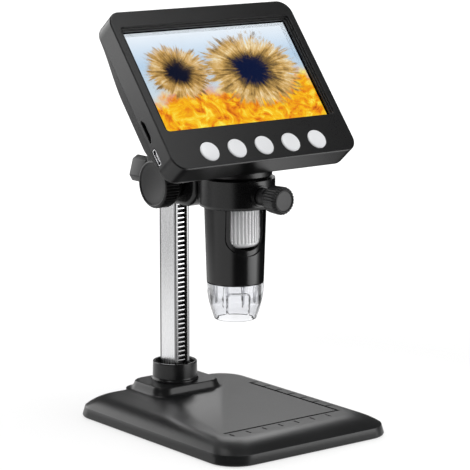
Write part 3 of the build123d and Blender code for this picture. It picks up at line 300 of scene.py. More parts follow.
def lit_picture(name):
    """Lit panel that shows a close view of two seed heads on a glowing petal."""
    f = Finish(name)
    where = f.mapped((MM,) * 3, (SCREEN_TILT, 0, 0), SCREEN * MM, "TEXTURE")
    axes = f.axes(where)
    u, v = axes["X"], axes["Y"]
    drift = f.noise(0.05, 4.0, 0.6, where, 0.6)
    height = f.math("ADD", v, f.math("ADD", f.between(drift, -14.0, 14.0), f.math("MULTIPLY", u, -0.07)))
    sky = f.ramp(f.between(v, 0.0, 1.0, -8.0, 28.0), (0.0, (0.62, 0.72, 0.78)), (0.5, (0.50, 0.66, 0.82)),
                 (1.0, (0.86, 0.92, 0.97)))
    glow = f.noise(0.11, 5.0, 0.62, where, 1.4)
    petal = f.ramp(glow, (0.28, (0.35, 0.05, 0.005)), (0.42, (0.83, 0.22, 0.01)), (0.55, (0.98, 0.52, 0.01)),
                   (0.70, (1.0, 0.88, 0.10)))
    ground = f.mix(f.between(height, 1.0, 0.0, -10.0, -1.0, smooth=True), sky, petal)
    small = seed_head(f, u, v, (-27.0, 5.0), 15.0, 1.15, (0.004, 0.006, 0.02), (0.62, 0.36, 0.10))
    large = seed_head(f, u, v, (17.0, 2.5), 20.0, 1.35, (0.003, 0.008, 0.04), (0.66, 0.40, 0.12))
    picture = f.mix(small[0], ground, small[1])
    picture = f.mix(large[0], picture, large[1])
    inside = f.math("MULTIPLY", f.math("LESS_THAN", f.math("ABSOLUTE", u), PICTURE[0] / 2 + 0.2),
                    f.math("LESS_THAN", f.math("ABSOLUTE", v), PICTURE[1] / 2 + 0.4))
    f.set(Base_Color=f.ramp(drift, (0.3, (0.004, 0.004, 0.004)), (0.7, (0.006, 0.006, 0.006))))
    f.set(Roughness=f.between(drift, 0.2, 0.3), Specular_IOR_Level=0.3)
    f.set(Emission_Color=f.mix(inside, (0.002, 0.002, 0.002), picture), Emission_Strength=1.0)
    return f.done()


# ---- sizes and colours to change
class MicroscopeStage(bpy.types.PropertyGroup):
    camera_place: FloatVectorProperty(
        name="Camera Place", description="Where the camera stands", default=(-0.7078, -0.9160, 0.3157),
        unit="LENGTH", subtype="TRANSLATION")
    camera_turn: FloatProperty(
        name="Camera Turn", description="Camera's turn about the upright axis", default=math.radians(-37.79),
        unit="ROTATION", subtype="ANGLE")
    camera_drop: FloatProperty(
        name="Camera Drop", description="How far the camera looks down", default=math.radians(10.705),
        unit="ROTATION", subtype="ANGLE")
    lens: FloatProperty(
        name="Lens", description="Focal length on a 36 mm sensor", default=182.2, min=10.0)
    floor_shade: FloatProperty(
        name="Floor Shade", description="Brightness of the plain floor under the lamps", default=0.34,
        min=0.0, max=1.0)
    floor_glow: FloatProperty(
        name="Floor Glow", description="White added to the floor where it is seen", default=0.64, min=0.0)
    mirror_glow: FloatProperty(
        name="Mirror Glow", description="Floor glow that shiny faces show", default=0.58, min=0.0)
    room_level: FloatProperty(
        name="Room Level", description="Soft light from all round", default=0.62, min=0.0)
    low_level: FloatProperty(
        name="Low Box", description="Brightness of the low box behind that level faces mirror", default=0.40,
        min=0.0)
    dark_level: FloatProperty(
        name="Dark Level", description="What shiny faces mirror away from the lamps", default=0.06, min=0.0)
    left_level: FloatProperty(
        name="Left Box", description="Brightness of the soft box on the left", default=2.25, min=0.0)
    back_level: FloatProperty(
        name="Back Box", description="Brightness of the high box behind", default=3.0, min=0.0)
    high_level: FloatProperty(
        name="High Box", description="Brightness of the box above, a little behind", default=3.2, min=0.0)
    front_level: FloatProperty(
        name="Front Box", description="Brightness of the small box in front", default=1.6, min=0.0)
    right_level: FloatProperty(
        name="Right Box", description="Brightness of the near box on the right", default=2.7, min=0.0)
    top_level: FloatProperty(
        name="Top Box", description="Brightness of the box overhead", default=2.9, min=0.0)


class MicroscopeColours(bpy.types.PropertyGroup):
    plastic: FloatVectorProperty(
        name="Housing", description="Colour of the dark moulded housings", default=(0.006, 0.006, 0.0064),
        subtype="COLOR", min=0.0, max=1.0)
    base: FloatVectorProperty(
        name="Base", description="Colour of the base moulding", default=(0.0075, 0.0078, 0.0082),
        subtype="COLOR", min=0.0, max=1.0)
    keys: FloatVectorProperty(
        name="Keys", description="Colour of the push keys", default=(0.80, 0.81, 0.825),
        subtype="COLOR", min=0.0, max=1.0)
    metal: FloatVectorProperty(
        name="Column", description="Colour of the drawn aluminium column", default=(0.86, 0.86, 0.87),
        subtype="COLOR", min=0.0, max=1.0)


class MicroscopeSizes(bpy.types.PropertyGroup):
    """Sizes of the fine pieces, in millimetres."""
    knob_radius: FloatProperty(
        name="Drive Knob Radius", description="Over the ridges", default=12.2, min=5.0)
    knob_ridges: IntProperty(
        name="Drive Knob Ridges", description="Ridges round a drive knob", default=46, min=8)
    thumb_radius: FloatProperty(
        name="Thumbscrew Radius", description="Over the flutes", default=6.95, min=3.0)
    thumb_flutes: IntProperty(
        name="Thumbscrew Flutes", description="Flutes round the thumbscrew", default=26, min=8)
    wheel_radius: FloatProperty(
        name="Focus Wheel Radius", description="Over the ridges", default=13.1, min=5.0)
    wheel_ridges: IntProperty(
        name="Focus Wheel Ridges", description="Ridges round the focus wheel", default=42, min=8)
    key_radius: FloatProperty(
        name="Key Radius", description="Round of a push key", default=5.2, min=2.0)
    hood_mouth: FloatProperty(
        name="Hood Mouth", description="Outer radius at the open end", default=10.4, min=4.0)


# ---- helpers for pieces
def coat(material, *names):
    """Gives one finish to the named CAD pieces."""
    for name in names:
        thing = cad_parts[name]
        if not thing.material_slots:
            thing.data.materials.append(material)
        for place in thing.material_slots:
            place.material = material


def spun(profile, steps=96):
    """Closed solid of revolution about Z from a loop of radius and height pairs."""
    form = bmesh.new()
    points = [form.verts.new((r, 0.0, z)) for r, z in profile]
    edges = [form.edges.new((a, b)) for a, b in zip(points, points[1:] + points[:1])
             if a.co.x > 0.0 or b.co.x > 0.0]
    bmesh.ops.spin(form, geom=points + edges, axis=(0, 0, 1), cent=(0, 0, 0), dvec=(0, 0, 0),
                   angle=2 * math.pi, steps=steps, use_merge=True)
    return tidied(form)


def tidied(form):
    bmesh.ops.remove_doubles(form, verts=form.verts, dist=1e-5)
    bmesh.ops.recalc_face_normals(form, faces=form.faces)
    return form


def merged(*forms):
    """One form from several."""
    mesh = bpy.data.meshes.new("merge")
    whole = forms[0]
    for form in forms[1:]:
        form.to_mesh(mesh)
        form.free()
        whole.from_mesh(mesh)
    bpy.data.meshes.remove(mesh)
    return whole


def moved(form, *matrices):
    for matrix in matrices:
        bmesh.ops.transform(form, matrix=matrix, verts=form.verts)
    return form


def box_form(low, high):
    form = bmesh.new()
    bmesh.ops.create_cube(form, size=1.0)
    size = Vector(high) - Vector(low)
    middle = (Vector(high) + Vector(low)) / 2
    bmesh.ops.scale(form, vec=size, verts=form.verts)
    bmesh.ops.translate(form, vec=middle, verts=form.verts)
    return form


def thing_of(form, name):
    mesh = bpy.data.meshes.new(name)
    form.to_mesh(mesh)
    form.free()
    thing = bpy.data.objects.new(name, mesh)
    bpy.context.collection.objects.link(thing)
    return thing


def carved(form, tool, kind="DIFFERENCE"):
    """Result of a solid cut by, or joined with, another one."""
    things = [thing_of(form, "work"), thing_of(tool, "tool")]
    cut = things[0].modifiers.new("cut", "BOOLEAN")
    cut.operation, cut.object, cut.solver = kind, things[1], "EXACT"
    bpy.context.view_layer.update()
    graph = bpy.context.evaluated_depsgraph_get()
    mesh = bpy.data.meshes.new_from_object(things[0].evaluated_get(graph))
    result = bmesh.new()
    result.from_mesh(mesh)
    bpy.data.meshes.remove(mesh)
    for thing in things:
        data = thing.data
        bpy.data.objects.remove(thing)
        bpy.data.meshes.remove(data)
    return result


def piece(name, form, material, body, slot, *nodes, flat=FLAT):
    """Turns a form in millimetres into a piece that rides on a body and stands for CAD nodes."""
    bmesh.ops.scale(form, vec=(MM,) * 3, verts=form.verts)
    thing = thing_of(form, name)
    for face in thing.data.polygons:
        face.use_smooth = True
    thing.data.set_sharp_from_angle(angle=math.radians(flat))
    thing.data.materials.append(material)
    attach(thing, body)
    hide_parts(*nodes)
    return thing


def ridges(form, count, depth, radius, low, high, fade=0.4, sharp=1.0):
    """Sinks the valleys between straight ridges into the outer surface of a turned form."""
    for point in form.verts:
        x, y, z = point.co
        r = math.hypot(x, y)
        if r < radius or not low <= z <= high:
            continue
        wave = (0.5 - 0.5 * math.cos(count * math.atan2(y, x))) ** sharp
        ends = min(1.0, (z - low) / fade + 0.001, (high - z) / fade + 0.001)
        share = (r - depth * wave * ends) / r
        point.co.x, point.co.y = x * share, y * share
    return form


def rounded(corners, radius, steps=4):
    """Outline with rounded corners: each corner is its two places and its share of the radius."""
    result = []
    count = len(corners)
    for i, (x, z, share) in enumerate(corners):
        if not share:
            result.append((x, z))
            continue
        here = Vector((x, z))
        before = Vector(corners[i - 1][:2])
        after = Vector(corners[(i + 1) % count][:2])
        r = radius * share
        a = here + (before - here).normalized() * r
        b = here + (after - here).normalized() * r
        for k in range(steps + 1):
            t = k / steps
            point = a * (1 - t) ** 2 + here * 2 * t * (1 - t) + b * t ** 2
            result.append((point.x, point.y))
    return result


def softened(form, offset, segments):
    """Rounds every edge of a form."""
    bmesh.ops.bevel(form, geom=form.edges[:], affect="EDGES", offset=offset, segments=segments,
                    profile=0.5, material=-1)
    return form


def on_screen(x, v, w):
    """Matrix from a form about Z to a place on the tilted face of the screen."""
    return Matrix.Translation(SCREEN) @ Matrix.Rotation(SCREEN_TILT, 4, "X") @ Matrix.Translation((x, v, w))


# ---- forms of the fine pieces
BASE_W, BASE_D, BASE_CORNER = 104.0, 132.0, 15.0
FOOT, WALL_TOP, TRAY = 0.3, 5.4, 9.9
SLOPES = (14.0, 17.0, 9.0)  # width of the slope at the sides, front and back
WALL_LEAN = 1.0  # how far the upright wall draws in on its way up
PLINTH = (46.0, 30.5, 65.0, 9.0, 14.4)  # width, front, back, corner and top
PLINTH_RUNS = (4.0, 2.5, 5.0)
PLINTH_SKIRT = ((0.0, 0.0), (0.05, 0.3), (0.15, 0.5), (0.3, 0.62), (0.7, 0.78), (0.88, 0.84), (0.96, 0.91),
                (1.0, 1.0))
GROOVE_RIGHT, GROOVE_FRONT, GROOVE_LEFT, GROOVE_BACK = 36.0, -40.2, -35.5, 31.0
GROOVE_W, GROOVE_DEPTH = 1.5, 0.9
TICK_PITCH, TICK_COUNT, TICK_W, TICK_DEPTH = 10.0, 7, 1.0, 0.7
TICK_FRONT = (2.3, 4.2)  # gap from the front groove, and length
TICK_SIDE = 4.85  # from the middle of the side groove
RIB_COUNT = 8  # ribs round the inside of the hood


def rounded_face(w, y0, y1, corner, z, segments=14):
    """Form with one face: a rectangle with round corners."""
    form = bmesh.new()
    bmesh.ops.create_grid(form, x_segments=1, y_segments=1, size=0.5)
    bmesh.ops.scale(form, vec=(w, y1 - y0, 1), verts=form.verts)
    bmesh.ops.bevel(form, geom=form.verts[:], affect="VERTICES", offset=corner, segments=segments,
                    profile=0.5, material=-1)
    bmesh.ops.translate(form, vec=(0, (y0 + y1) / 2, z), verts=form.verts)
    return form


def raised(form, face, w, y0, y1, z):
    """Extrudes a level face to a new height and fits it to a new rectangle."""
    old = face.verts[:]
    x0, x1 = min(v.co.x for v in old), max(v.co.x for v in old)
    a, b = min(v.co.y for v in old), max(v.co.y for v in old)
    face = bmesh.ops.extrude_discrete_faces(form, faces=[face])["faces"][0]
    for point in face.verts:
        point.co.x *= w / (x1 - x0)
        point.co.y = y0 + (point.co.y - a) * (y1 - y0) / (b - a)
        point.co.z = z
    return face


def base_form():
    """Base: foot edge, leaning wall, convex slope and level tray."""
    half = BASE_D / 2
    form = rounded_face(BASE_W - 1.6, -half + 0.8, half - 0.8, BASE_CORNER - 0.8, FOOT)
    bottom = form.faces[:][0]
    bottom.normal_flip()
    top = raised(form, bottom, BASE_W - 0.4, -half + 0.2, half - 0.2, FOOT + 0.25)
    top = raised(form, top, BASE_W, -half, half, FOOT + 0.8)
    side, front, back = SLOPES
    lean = WALL_LEAN
    top = raised(form, top, BASE_W - 1.8 * lean, -half + 0.9 * lean, half - 0.9 * lean, WALL_TOP - 0.3)
    start, count = math.radians(38.0), 12
    for i in range(count + 1):
        a = start * (1 - i / count)
        run = (math.sin(start) - math.sin(a)) / math.sin(start)
        rise = (math.cos(a) - math.cos(start)) / (1 - math.cos(start))
        w = BASE_W - 2 * lean - 2 * (side - lean) * run
        y0, y1 = -half + lean + (front - lean) * run, half - lean - (back - lean) * run
        top = raised(form, top, w, y0, y1, WALL_TOP + (TRAY - WALL_TOP) * rise)
    raised(form, top, w - 2.4, y0 + 1.2, y1 - 1.2, TRAY)
    return closed_below(form, 1.4)


def closed_below(form, height):
    """Closes the open lower rim with a recess for the plate."""
    rim = [e for e in form.edges if e.is_boundary]
    if rim:
        bmesh.ops.contextual_create(form, geom=rim)
    bmesh.ops.recalc_face_normals(form, faces=form.faces)
    bottom = min(form.faces, key=lambda face: face.calc_center_median().z)
    bmesh.ops.inset_region(form, faces=[bottom], thickness=1.5, depth=0.0, use_even_offset=True)
    floor = bmesh.ops.extrude_discrete_faces(form, faces=[bottom])["faces"][0]
    bmesh.ops.translate(form, vec=(0, 0, height), verts=floor.verts)
    return tidied(form)


def plinth_form():
    """Plinth: a cove at its foot, a steep skirt and a rolled upper edge."""
    w, y0, y1, corner, high = PLINTH
    side, front, back = PLINTH_RUNS
    form = rounded_face(w, y0, y1, corner, WALL_TOP + 1.0)
    face = form.faces[:][0]
    for rise, run in PLINTH_SKIRT:
        face = raised(form, face, w - 2 * side * run, y0 + front * run, y1 - back * run,
                      TRAY + (high - TRAY) * rise)
    inner = 2 * side + 1.6
    raised(form, face, w - inner, y0 + front + 0.8, y1 - back - 0.8, high)
    rim = [e for e in form.edges if e.is_boundary]
    if rim:
        bmesh.ops.contextual_create(form, geom=rim)
    return tidied(form)


def ruler_forms():
    """Cutters of the L-shaped groove and of the marks outside it."""
    deep, high, half = TRAY - GROOVE_DEPTH, TRAY + 1.0, GROOVE_W / 2
    gap, length = TICK_FRONT
    front, sunk, thick = GROOVE_FRONT - gap, TRAY - TICK_DEPTH, TICK_W / 2
    marks = []
    for i in range(TICK_COUNT):
        x, y = GROOVE_RIGHT - (i + 1) * TICK_PITCH, GROOVE_FRONT + (i + 1) * TICK_PITCH
        marks.append(box_form((x - thick, front - length, sunk), (x + thick, front, high)))
        marks.append(box_form((GROOVE_RIGHT, y - thick, sunk),
                              (GROOVE_RIGHT + TICK_SIDE, y + thick, high + 0.1)))
    end = GROOVE_RIGHT + half
    across = box_form((GROOVE_LEFT, GROOVE_FRONT - half, deep), (end, GROOVE_FRONT + half, high))
    along = box_form((GROOVE_RIGHT - half, GROOVE_FRONT, deep), (end, GROOVE_BACK, high))
    return across, along, merged(*marks)


def collar_form():
    """Round collar on the plinth, flared at its foot and dished on top."""
    r, bore, flare, high, rim, sunk = 11.4, 5.4, 0.7, 9.8, 1.3, 2.6
    profile = rounded([(bore, 0, 0), (r + flare, 0, 0), (r + flare, 0.9, 0.5), (r + 0.15, 1.7, 1),
                       (r, high, 1), (r - rim, high, 0.6), (r - rim - 0.4, high - sunk, 0),
                       (bore, high - sunk, 0)], 0.5)
    form = spun(profile)
    return moved(form, Matrix.Translation((0, COLUMN.y, PLINTH[4])))


def drive_knob_form(sizes, side):
    """Drive knob: ridged drum with a rolled rim, a dished face and a smaller hub behind."""
    r, hub, face, back, inner = sizes.knob_radius, 8.0, 22.9, 14.0, 10.0
    bore, roll, rim, step, sunk = 2.4, 0.9, 1.8, 0.35, 0.75
    profile = rounded([(bore, inner, 0), (hub, inner, 0.6), (hub, back, 0), (r - roll, back, 1),
                       (r, back + roll, 1), (r, face - roll, 1), (r - roll, face, 1), (r - 1.5, face, 0.6),
                       (r - rim, face - step, 0.5)], 0.35)
    dish = [((r - rim) * k / 8, face - step - sunk * (1 - (k / 8) ** 2)) for k in range(7, -1, -1)]
    profile += dish + [(0, inner + 1), (bore, inner + 1)]
    form = spun(profile, sizes.knob_ridges * 8)
    form = ridges(form, sizes.knob_ridges, 0.65, hub + 1.5, back, face - 0.55, 0.5, 0.8)
    turn = Matrix.Rotation(side * math.pi / 2, 4, "Y")
    return moved(form, turn, Matrix.Translation(DRIVE))


def lengthened(profile, low, high, count):
    """Adds points to the straight outer run between two heights."""
    result = []
    for i, (x, z) in enumerate(profile):
        result.append((x, z))
        x2, z2 = profile[(i + 1) % len(profile)]
        if z2 - z > (high - low) * 0.4:
            for k in range(1, count):
                t = k / count
                result.append((x + (x2 - x) * t, z + (z2 - z) * t))
    return result


def thumbscrew_form(sizes):
    """Thumbscrew: collar, slim neck and a fluted head with a rolled edge and a flat disc."""
    r, bore, foot, length, head = sizes.thumb_radius, 1.9, 4.4, 17.1, 10.0
    rear, disc = length - head, length - 0.35
    profile = rounded([(bore, 0, 0), (foot, 0, 0.7), (foot, 2.3, 0.7), (3.8, 3.0, 0.7),
                       (3.7, rear - 0.8, 1), (4.6, rear, 0.8), (r - 1.2, rear, 0),
                       (r - 0.35, rear + 0.9, 1.4), (r, length - 1.3, 1.6), (r - 1.25, length, 1.6),
                       (5.35, length, 0.4), (5.2, disc, 0.4), (0, disc, 0), (0, 1, 0), (bore, 1, 0)], 0.55)
    form = spun(lengthened(profile, rear, length, 4), sizes.thumb_flutes * 10)
    form = ridges(form, sizes.thumb_flutes, 0.5, 5.5, rear + 0.2, length, 0.5, 1.6)
    return moved(form, Matrix.Rotation(math.pi / 2, 4, "X"), Matrix.Translation(THUMB))


def lock_knob_form():
    """Eight-sided lock knob with soft edges on a round hub."""
    flat, cut, bore, hub_r, hub, length = 8.6, 3.6, 2.3, 4.6, 4.1, 11.8
    half = flat / 2 + cut / math.sqrt(2)
    form = rounded_face(2 * half, -half, half, cut / math.sqrt(2), 0.0, 1)
    face = form.faces[:][0]
    face.normal_flip()
    top = bmesh.ops.extrude_discrete_faces(form, faces=[face])["faces"][0]
    bmesh.ops.translate(form, vec=(0, 0, length), verts=top.verts)
    bmesh.ops.contextual_create(form, geom=[e for e in form.edges if e.is_boundary])
    tidied(form)
    softened(form, 0.45, 3)
    top = max(form.faces, key=lambda f: (round(f.calc_center_median().z, 4), f.calc_area()))
    bmesh.ops.inset_region(form, faces=[top], thickness=1.3, depth=0.0, use_even_offset=True)
    bmesh.ops.inset_region(form, faces=[top], thickness=0.3, depth=-0.3, use_even_offset=True)
    moved(form, Matrix.Rotation(math.radians(15.0), 4, "Z"), Matrix.Translation((0, 0, hub)))
    stem = rounded([(bore, 0, 0), (hub_r, 0, 0.8), (hub_r, hub + 0.2, 0), (bore, hub + 0.2, 0)], 0.6)
    form = merged(form, spun(stem, 64))
    return moved(form, Matrix.Rotation(-math.pi / 2, 4, "X"), Matrix.Translation(LOCK))


def wheel_form(sizes):
    """Focus wheel: straight rounded ridges above a plain lip."""
    r, bore, low, top, lip = sizes.wheel_radius, 10.4, 92.9, 113.0, 2.3
    profile = rounded([(bore, low, 0), (r - 1.3, low, 0.8), (r - 0.25, low + 1.0, 0.8),
                       (r, low + lip - 0.4, 0.6), (r, low + lip + 0.01, 0), (r, top, 0.8),
                       (bore, top, 0)], 0.6)
    form = spun(lengthened(profile, low, top, 3), sizes.wheel_ridges * 10)
    form = ridges(form, sizes.wheel_ridges, 0.75, bore + 1, low + lip - 0.1, top, 0.25, 2.4)
    return moved(form, Matrix.Translation(AXIS))


def key_form(sizes, index):
    """Push key: domed disc with a rolled rim on a hidden flange."""
    r, flange, back, top = sizes.key_radius, 6.2, -0.95, 3.3
    dome = [(r * math.sin(a) * 0.93, top - 0.32 * (1 - math.cos(a)))
            for a in (math.radians(90 - 11.25 * k) for k in range(8))]
    profile = [(0, back), (flange, back), (flange, -0.05), (r, -0.05), (r, top - 0.72),
               (r - 0.03, top - 0.58), (r - 0.14, top - 0.42)] + dome + [(0, top)]
    return moved(spun(profile, 72), on_screen((index - 2) * KEY_PITCH, KEY_ROW, 0))


def hood_form(sizes):
    """Clear hood: a push-fit band that runs smoothly into a tapering cup, with thin ribs inside."""
    mouth, band, low, bend, top = sizes.hood_mouth, 14.1, 55.6, 71.0, 76.2
    wall, thin, bore, inner, seat = 1.55, 1.15, 12.7, 11.5, 74.0
    rows = 48

    def outer(z):
        t = max(0.0, (bend - z) / (bend - low))
        return band - (band - mouth) * (0.75 * t ** 1.8 + 0.25 * t)

    lip = rounded([(mouth - thin, low, 1), (mouth + 0.05, low, 1), (outer(low + 1.0), low + 1.0, 0)], 0.45)
    cup = [(outer(z), z) for z in (low + 1.0 + (seat - low - 1.1) * k / rows for k in range(1, rows + 1))]
    step = [(band, seat), (bore, seat), (bore, top - 0.2), (bore - 0.2, top), (inner, top)]
    inside = [(min(inner, outer(bend - fall) - wall + (wall - thin) * fall / (bend - low)), bend - fall)
              for fall in ((bend - low - 1.5) * k / 14 for k in range(15))]
    form = spun(lip + cup + step + inside, 240)
    arch_line(form, outer, low, seat)
    ribs = [hood_rib(inner - 0.05, k) for k in range(RIB_COUNT)]
    return moved(merged(form, *ribs), Matrix.Translation(AXIS))


def arch_line(form, outer, low, high):
    """Presses a thin arch-shaped groove into the cup, facing the viewer's side and opposite."""
    half, peak, corner, width, depth = 5.6, 70.3, 2.4, 0.36, 0.5
    for point in form.verts:
        x, y, z = point.co
        r = math.hypot(x, y)
        if not low + 3.6 < z < high - 0.2 or r < outer(z) - 0.2:
            continue
        turn = math.atan2(y, x) - (CAMERA_SIDE + math.radians(7.0))
        turn = (turn + math.pi / 2) % math.pi - math.pi / 2
        a, b = abs(turn * r) - (half - corner), z - (peak - corner)
        away = math.hypot(max(a, 0), max(b, 0)) + min(max(a, b), 0) - corner
        press = depth * max(0.0, 1 - (away / width) ** 2 / 2.2) ** 2 if abs(away) < width * 1.48 else 0.0
        press *= min(1.0, (z - low - 3.6) / 0.8)
        point.co.x, point.co.y = x * (r - press) / r, y * (r - press) / r


def hood_rib(r, index):
    """One thin upright rib on the inner wall, tapered towards its lower end."""
    form = box_form((r - 0.75, -0.4, 64.5), (r - 0.05, 0.4, 75.6))
    for point in form.verts:
        if point.co.z < 70:
            point.co.x -= 1.05 if point.co.x < r - 0.5 else 1.25
    angle = CAMERA_SIDE + math.radians(360.0 / RIB_COUNT * (index + 0.5))
    return moved(softened(form, 0.15, 2), Matrix.Rotation(angle, 4, "Z"))


def case_screw_form(x, v, head, shank):
    """Countersunk case screw with a cross recess in its head."""
    form = spun(rounded([(0, 0, 0), (shank, 0, 0.5), (shank, 6.2, 0), (head, 6.2, 0.5), (head, 6.7, 1),
                         (0, 6.75, 0)], 0.25), 40)
    arm, slit = 1.2, 0.22
    cross = merged(box_form((-arm, -slit, 6.0), (arm, slit, 7.5)),
                   box_form((-slit, -arm, 6.01), (slit, arm, 7.51)))
    return moved(carved(form, cross), Matrix.Rotation(math.pi, 4, "X"), on_screen(x, v, -3.5))


class MICROSCOPE_OT_base(bpy.types.Operator):
    """Model the base moulding and finish the base, its plate, pad and screws"""
    bl_idname = "microscope.base"
    bl_label = "Base"

    def execute(self, context):
        colours = context.scene.microscope_colours
        form = carved(base_form(), plinth_form(), "UNION")
        for tool in ruler_forms():
            form = carved(form, tool)
        piece("base_moulding", form, moulded("base_plastic", colours.base, 0.31, 0.2, 0.3), "stand",
              "base_plastic", "base_shell", flat=34.0)
        coat(rubber("pad_rubber", (0.012, 0.012, 0.013)), "base_pad")
        coat(plated("plate_steel", (0.55, 0.56, 0.58)), "base_plate", "ballast", "foot_plate")
        coat(plated("screw_steel", (0.62, 0.63, 0.65), 0.2), "base_screws", "foot_screws", "column_bolt",
             "lock_stud", "thumb_stud", "drive_shaft")
        return {"FINISHED"}


class MICROSCOPE_OT_column(bpy.types.Operator):
    """Model the collar and finish the column, its rack and cap"""
    bl_idname = "microscope.column"
    bl_label = "Column"

    def execute(self, context):
        colours = context.scene.microscope_colours
        coat(brushed("drawn_aluminium", colours.metal, 0.26, *COLUMN_DEPTH), "column")
        coat(toothed("rack_steel", (0.72, 0.72, 0.73), *TOOTH_DEPTH), "rack")
        coat(plated("gear_steel", (0.60, 0.60, 0.62), 0.22), "pinion_gear")
        plastic = moulded("collar_plastic", colours.plastic, 0.22)
        coat(plastic, "column_cap")
        piece("collar", collar_form(), plastic, "stand", "collar_plastic", "column_collar")
        return {"FINISHED"}


class MICROSCOPE_OT_carriage(bpy.types.Operator):
    """Finish the carriage, its liners and bushes"""
    bl_idname = "microscope.carriage"
    bl_label = "Carriage"

    def execute(self, context):
        colours = context.scene.microscope_colours
        coat(moulded("carriage_plastic", shade(colours.plastic, 0.8), 0.26, 0.12), "carriage_body")
        coat(moulded("liner_plastic", (0.012, 0.012, 0.012), 0.3), "guide_liner", "brake_pad", "ring_liner",
             "wheel_retainer", "lens_carrier", "shaft_bushes")
        return {"FINISHED"}


class MICROSCOPE_OT_knobs(bpy.types.Operator):
    """Model the drive knobs, the lock knob and the thumbscrew"""
    bl_idname = "microscope.knobs"
    bl_label = "Knobs"

    def execute(self, context):
        sizes = context.scene.microscope_sizes
        colours = context.scene.microscope_colours
        plastic = moulded("knob_plastic", shade(colours.plastic, 1.6), 0.40, 0.25, 0.12)
        for name, side in (("left", -1), ("right", 1)):
            piece("drive_knob_" + name, drive_knob_form(sizes, side), plastic, "drive", "knob_plastic",
                  "knob_" + name)
        piece("thumbscrew", thumbscrew_form(sizes), plastic, "head_clamp", "knob_plastic", "thumb_knob")
        piece("column_lock", lock_knob_form(), plastic, "column_lock", "knob_plastic", "lock_knob")
        return {"FINISHED"}


class MICROSCOPE_OT_screen(bpy.types.Operator):
    """Finish the screen housing and its inner pieces"""
    bl_idname = "microscope.screen"
    bl_label = "Screen"

    def execute(self, context):
        colours = context.scene.microscope_colours
        coat(moulded("case_plastic", colours.plastic, 0.29, 0.2, 0.6), "front_bezel")
        coat(moulded("back_plastic", colours.plastic, 0.31, 0.25, 0.35), "back_shell")
        coat(clear("cover_glass", (0.98, 0.985, 1.0), 0.0, 1.1, 0.0), "screen_glass")
        coat(circuit("board_mask", (0.01, 0.06, 0.02)), "key_board", "main_board", "sensor_board",
             "led_board")
        coat(moulded("black_part", (0.01, 0.01, 0.01), 0.3), "key_switches", "image_sensor")
        coat(moulded("cell_wrap", (0.10, 0.12, 0.16), 0.35), "battery")
        coat(plated("socket_shell", (0.85, 0.85, 0.87), 0.15), "usb_port", "card_socket")
        coat(moulded("lamp_chip", (0.9, 0.85, 0.6), 0.25), "leds")
        coat(lit_picture("lit_panel"), "lcd_panel")
        x, high, low = 52.1, 35.6, -46.6
        screws = [case_screw_form(x * side, v, 2.1, 1.1) for side in (-1, 1) for v in (low, high)]
        steel = plated("case_screw_steel", (0.08, 0.08, 0.085), 0.3)
        piece("housing_screws", merged(*screws), steel, "head", "screw_steel", "case_screws")
        return {"FINISHED"}


class MICROSCOPE_OT_keys(bpy.types.Operator):
    """Model the five push keys"""
    bl_idname = "microscope.keys"
    bl_label = "Keys"

    def execute(self, context):
        sizes = context.scene.microscope_sizes
        colours = context.scene.microscope_colours
        plastic = moulded("key_plastic", colours.keys, 0.24, 0.08, 0.1)
        for i in range(5):
            number = str(i + 1)
            piece("push_key_" + number, key_form(sizes, i), plastic, "button_" + number, "key_plastic",
                  "key_" + number)
        return {"FINISHED"}


class MICROSCOPE_OT_tube(bpy.types.Operator):
    """Model the focus wheel and the clear hood, and finish the tube and the lens"""
    bl_idname = "microscope.tube"
    bl_label = "Tube"

    def execute(self, context):
        sizes = context.scene.microscope_sizes
        colours = context.scene.microscope_colours
        coat(moulded("tube_plastic", colours.plastic, 0.20, 0.15, 0.2), "barrel_tube")
        coat(clear("lens_coating", (0.93, 0.96, 1.0), 0.0, 1.52, 0.0), "lens")
        piece("focus_ring", wheel_form(sizes), silvered("wheel_silver", (0.84, 0.84, 0.85)), "focus",
              "wheel_plastic", "focus_wheel")
        plastic = clear("hood_plastic", (0.875, 0.88, 0.90), 0.02, flow_mark=0.04)
        piece("clear_hood", hood_form(sizes), plastic, "head", "clear_plastic", "hood")
        return {"FINISHED"}


# Soft boxes: name, width and height, then turn from the viewer's side, distance and height of the place.
LAMPS = (
    ("left", (0.85, 0.70), (-122.0, 0.80, 0.35)),
    ("back", (0.24, 0.38), (178.0, 0.83, 0.58)),
    ("high", (0.45, 0.32), (-168.0, 0.44, 1.0)),
    ("low", (0.15, 0.24), (175.5, 0.50, 0.12)),
    ("front", (0.30, 0.30), (-34.0, 0.75, 0.75)),
    ("right", (0.20, 0.15), (71.0, 0.26, 0.077)),
)


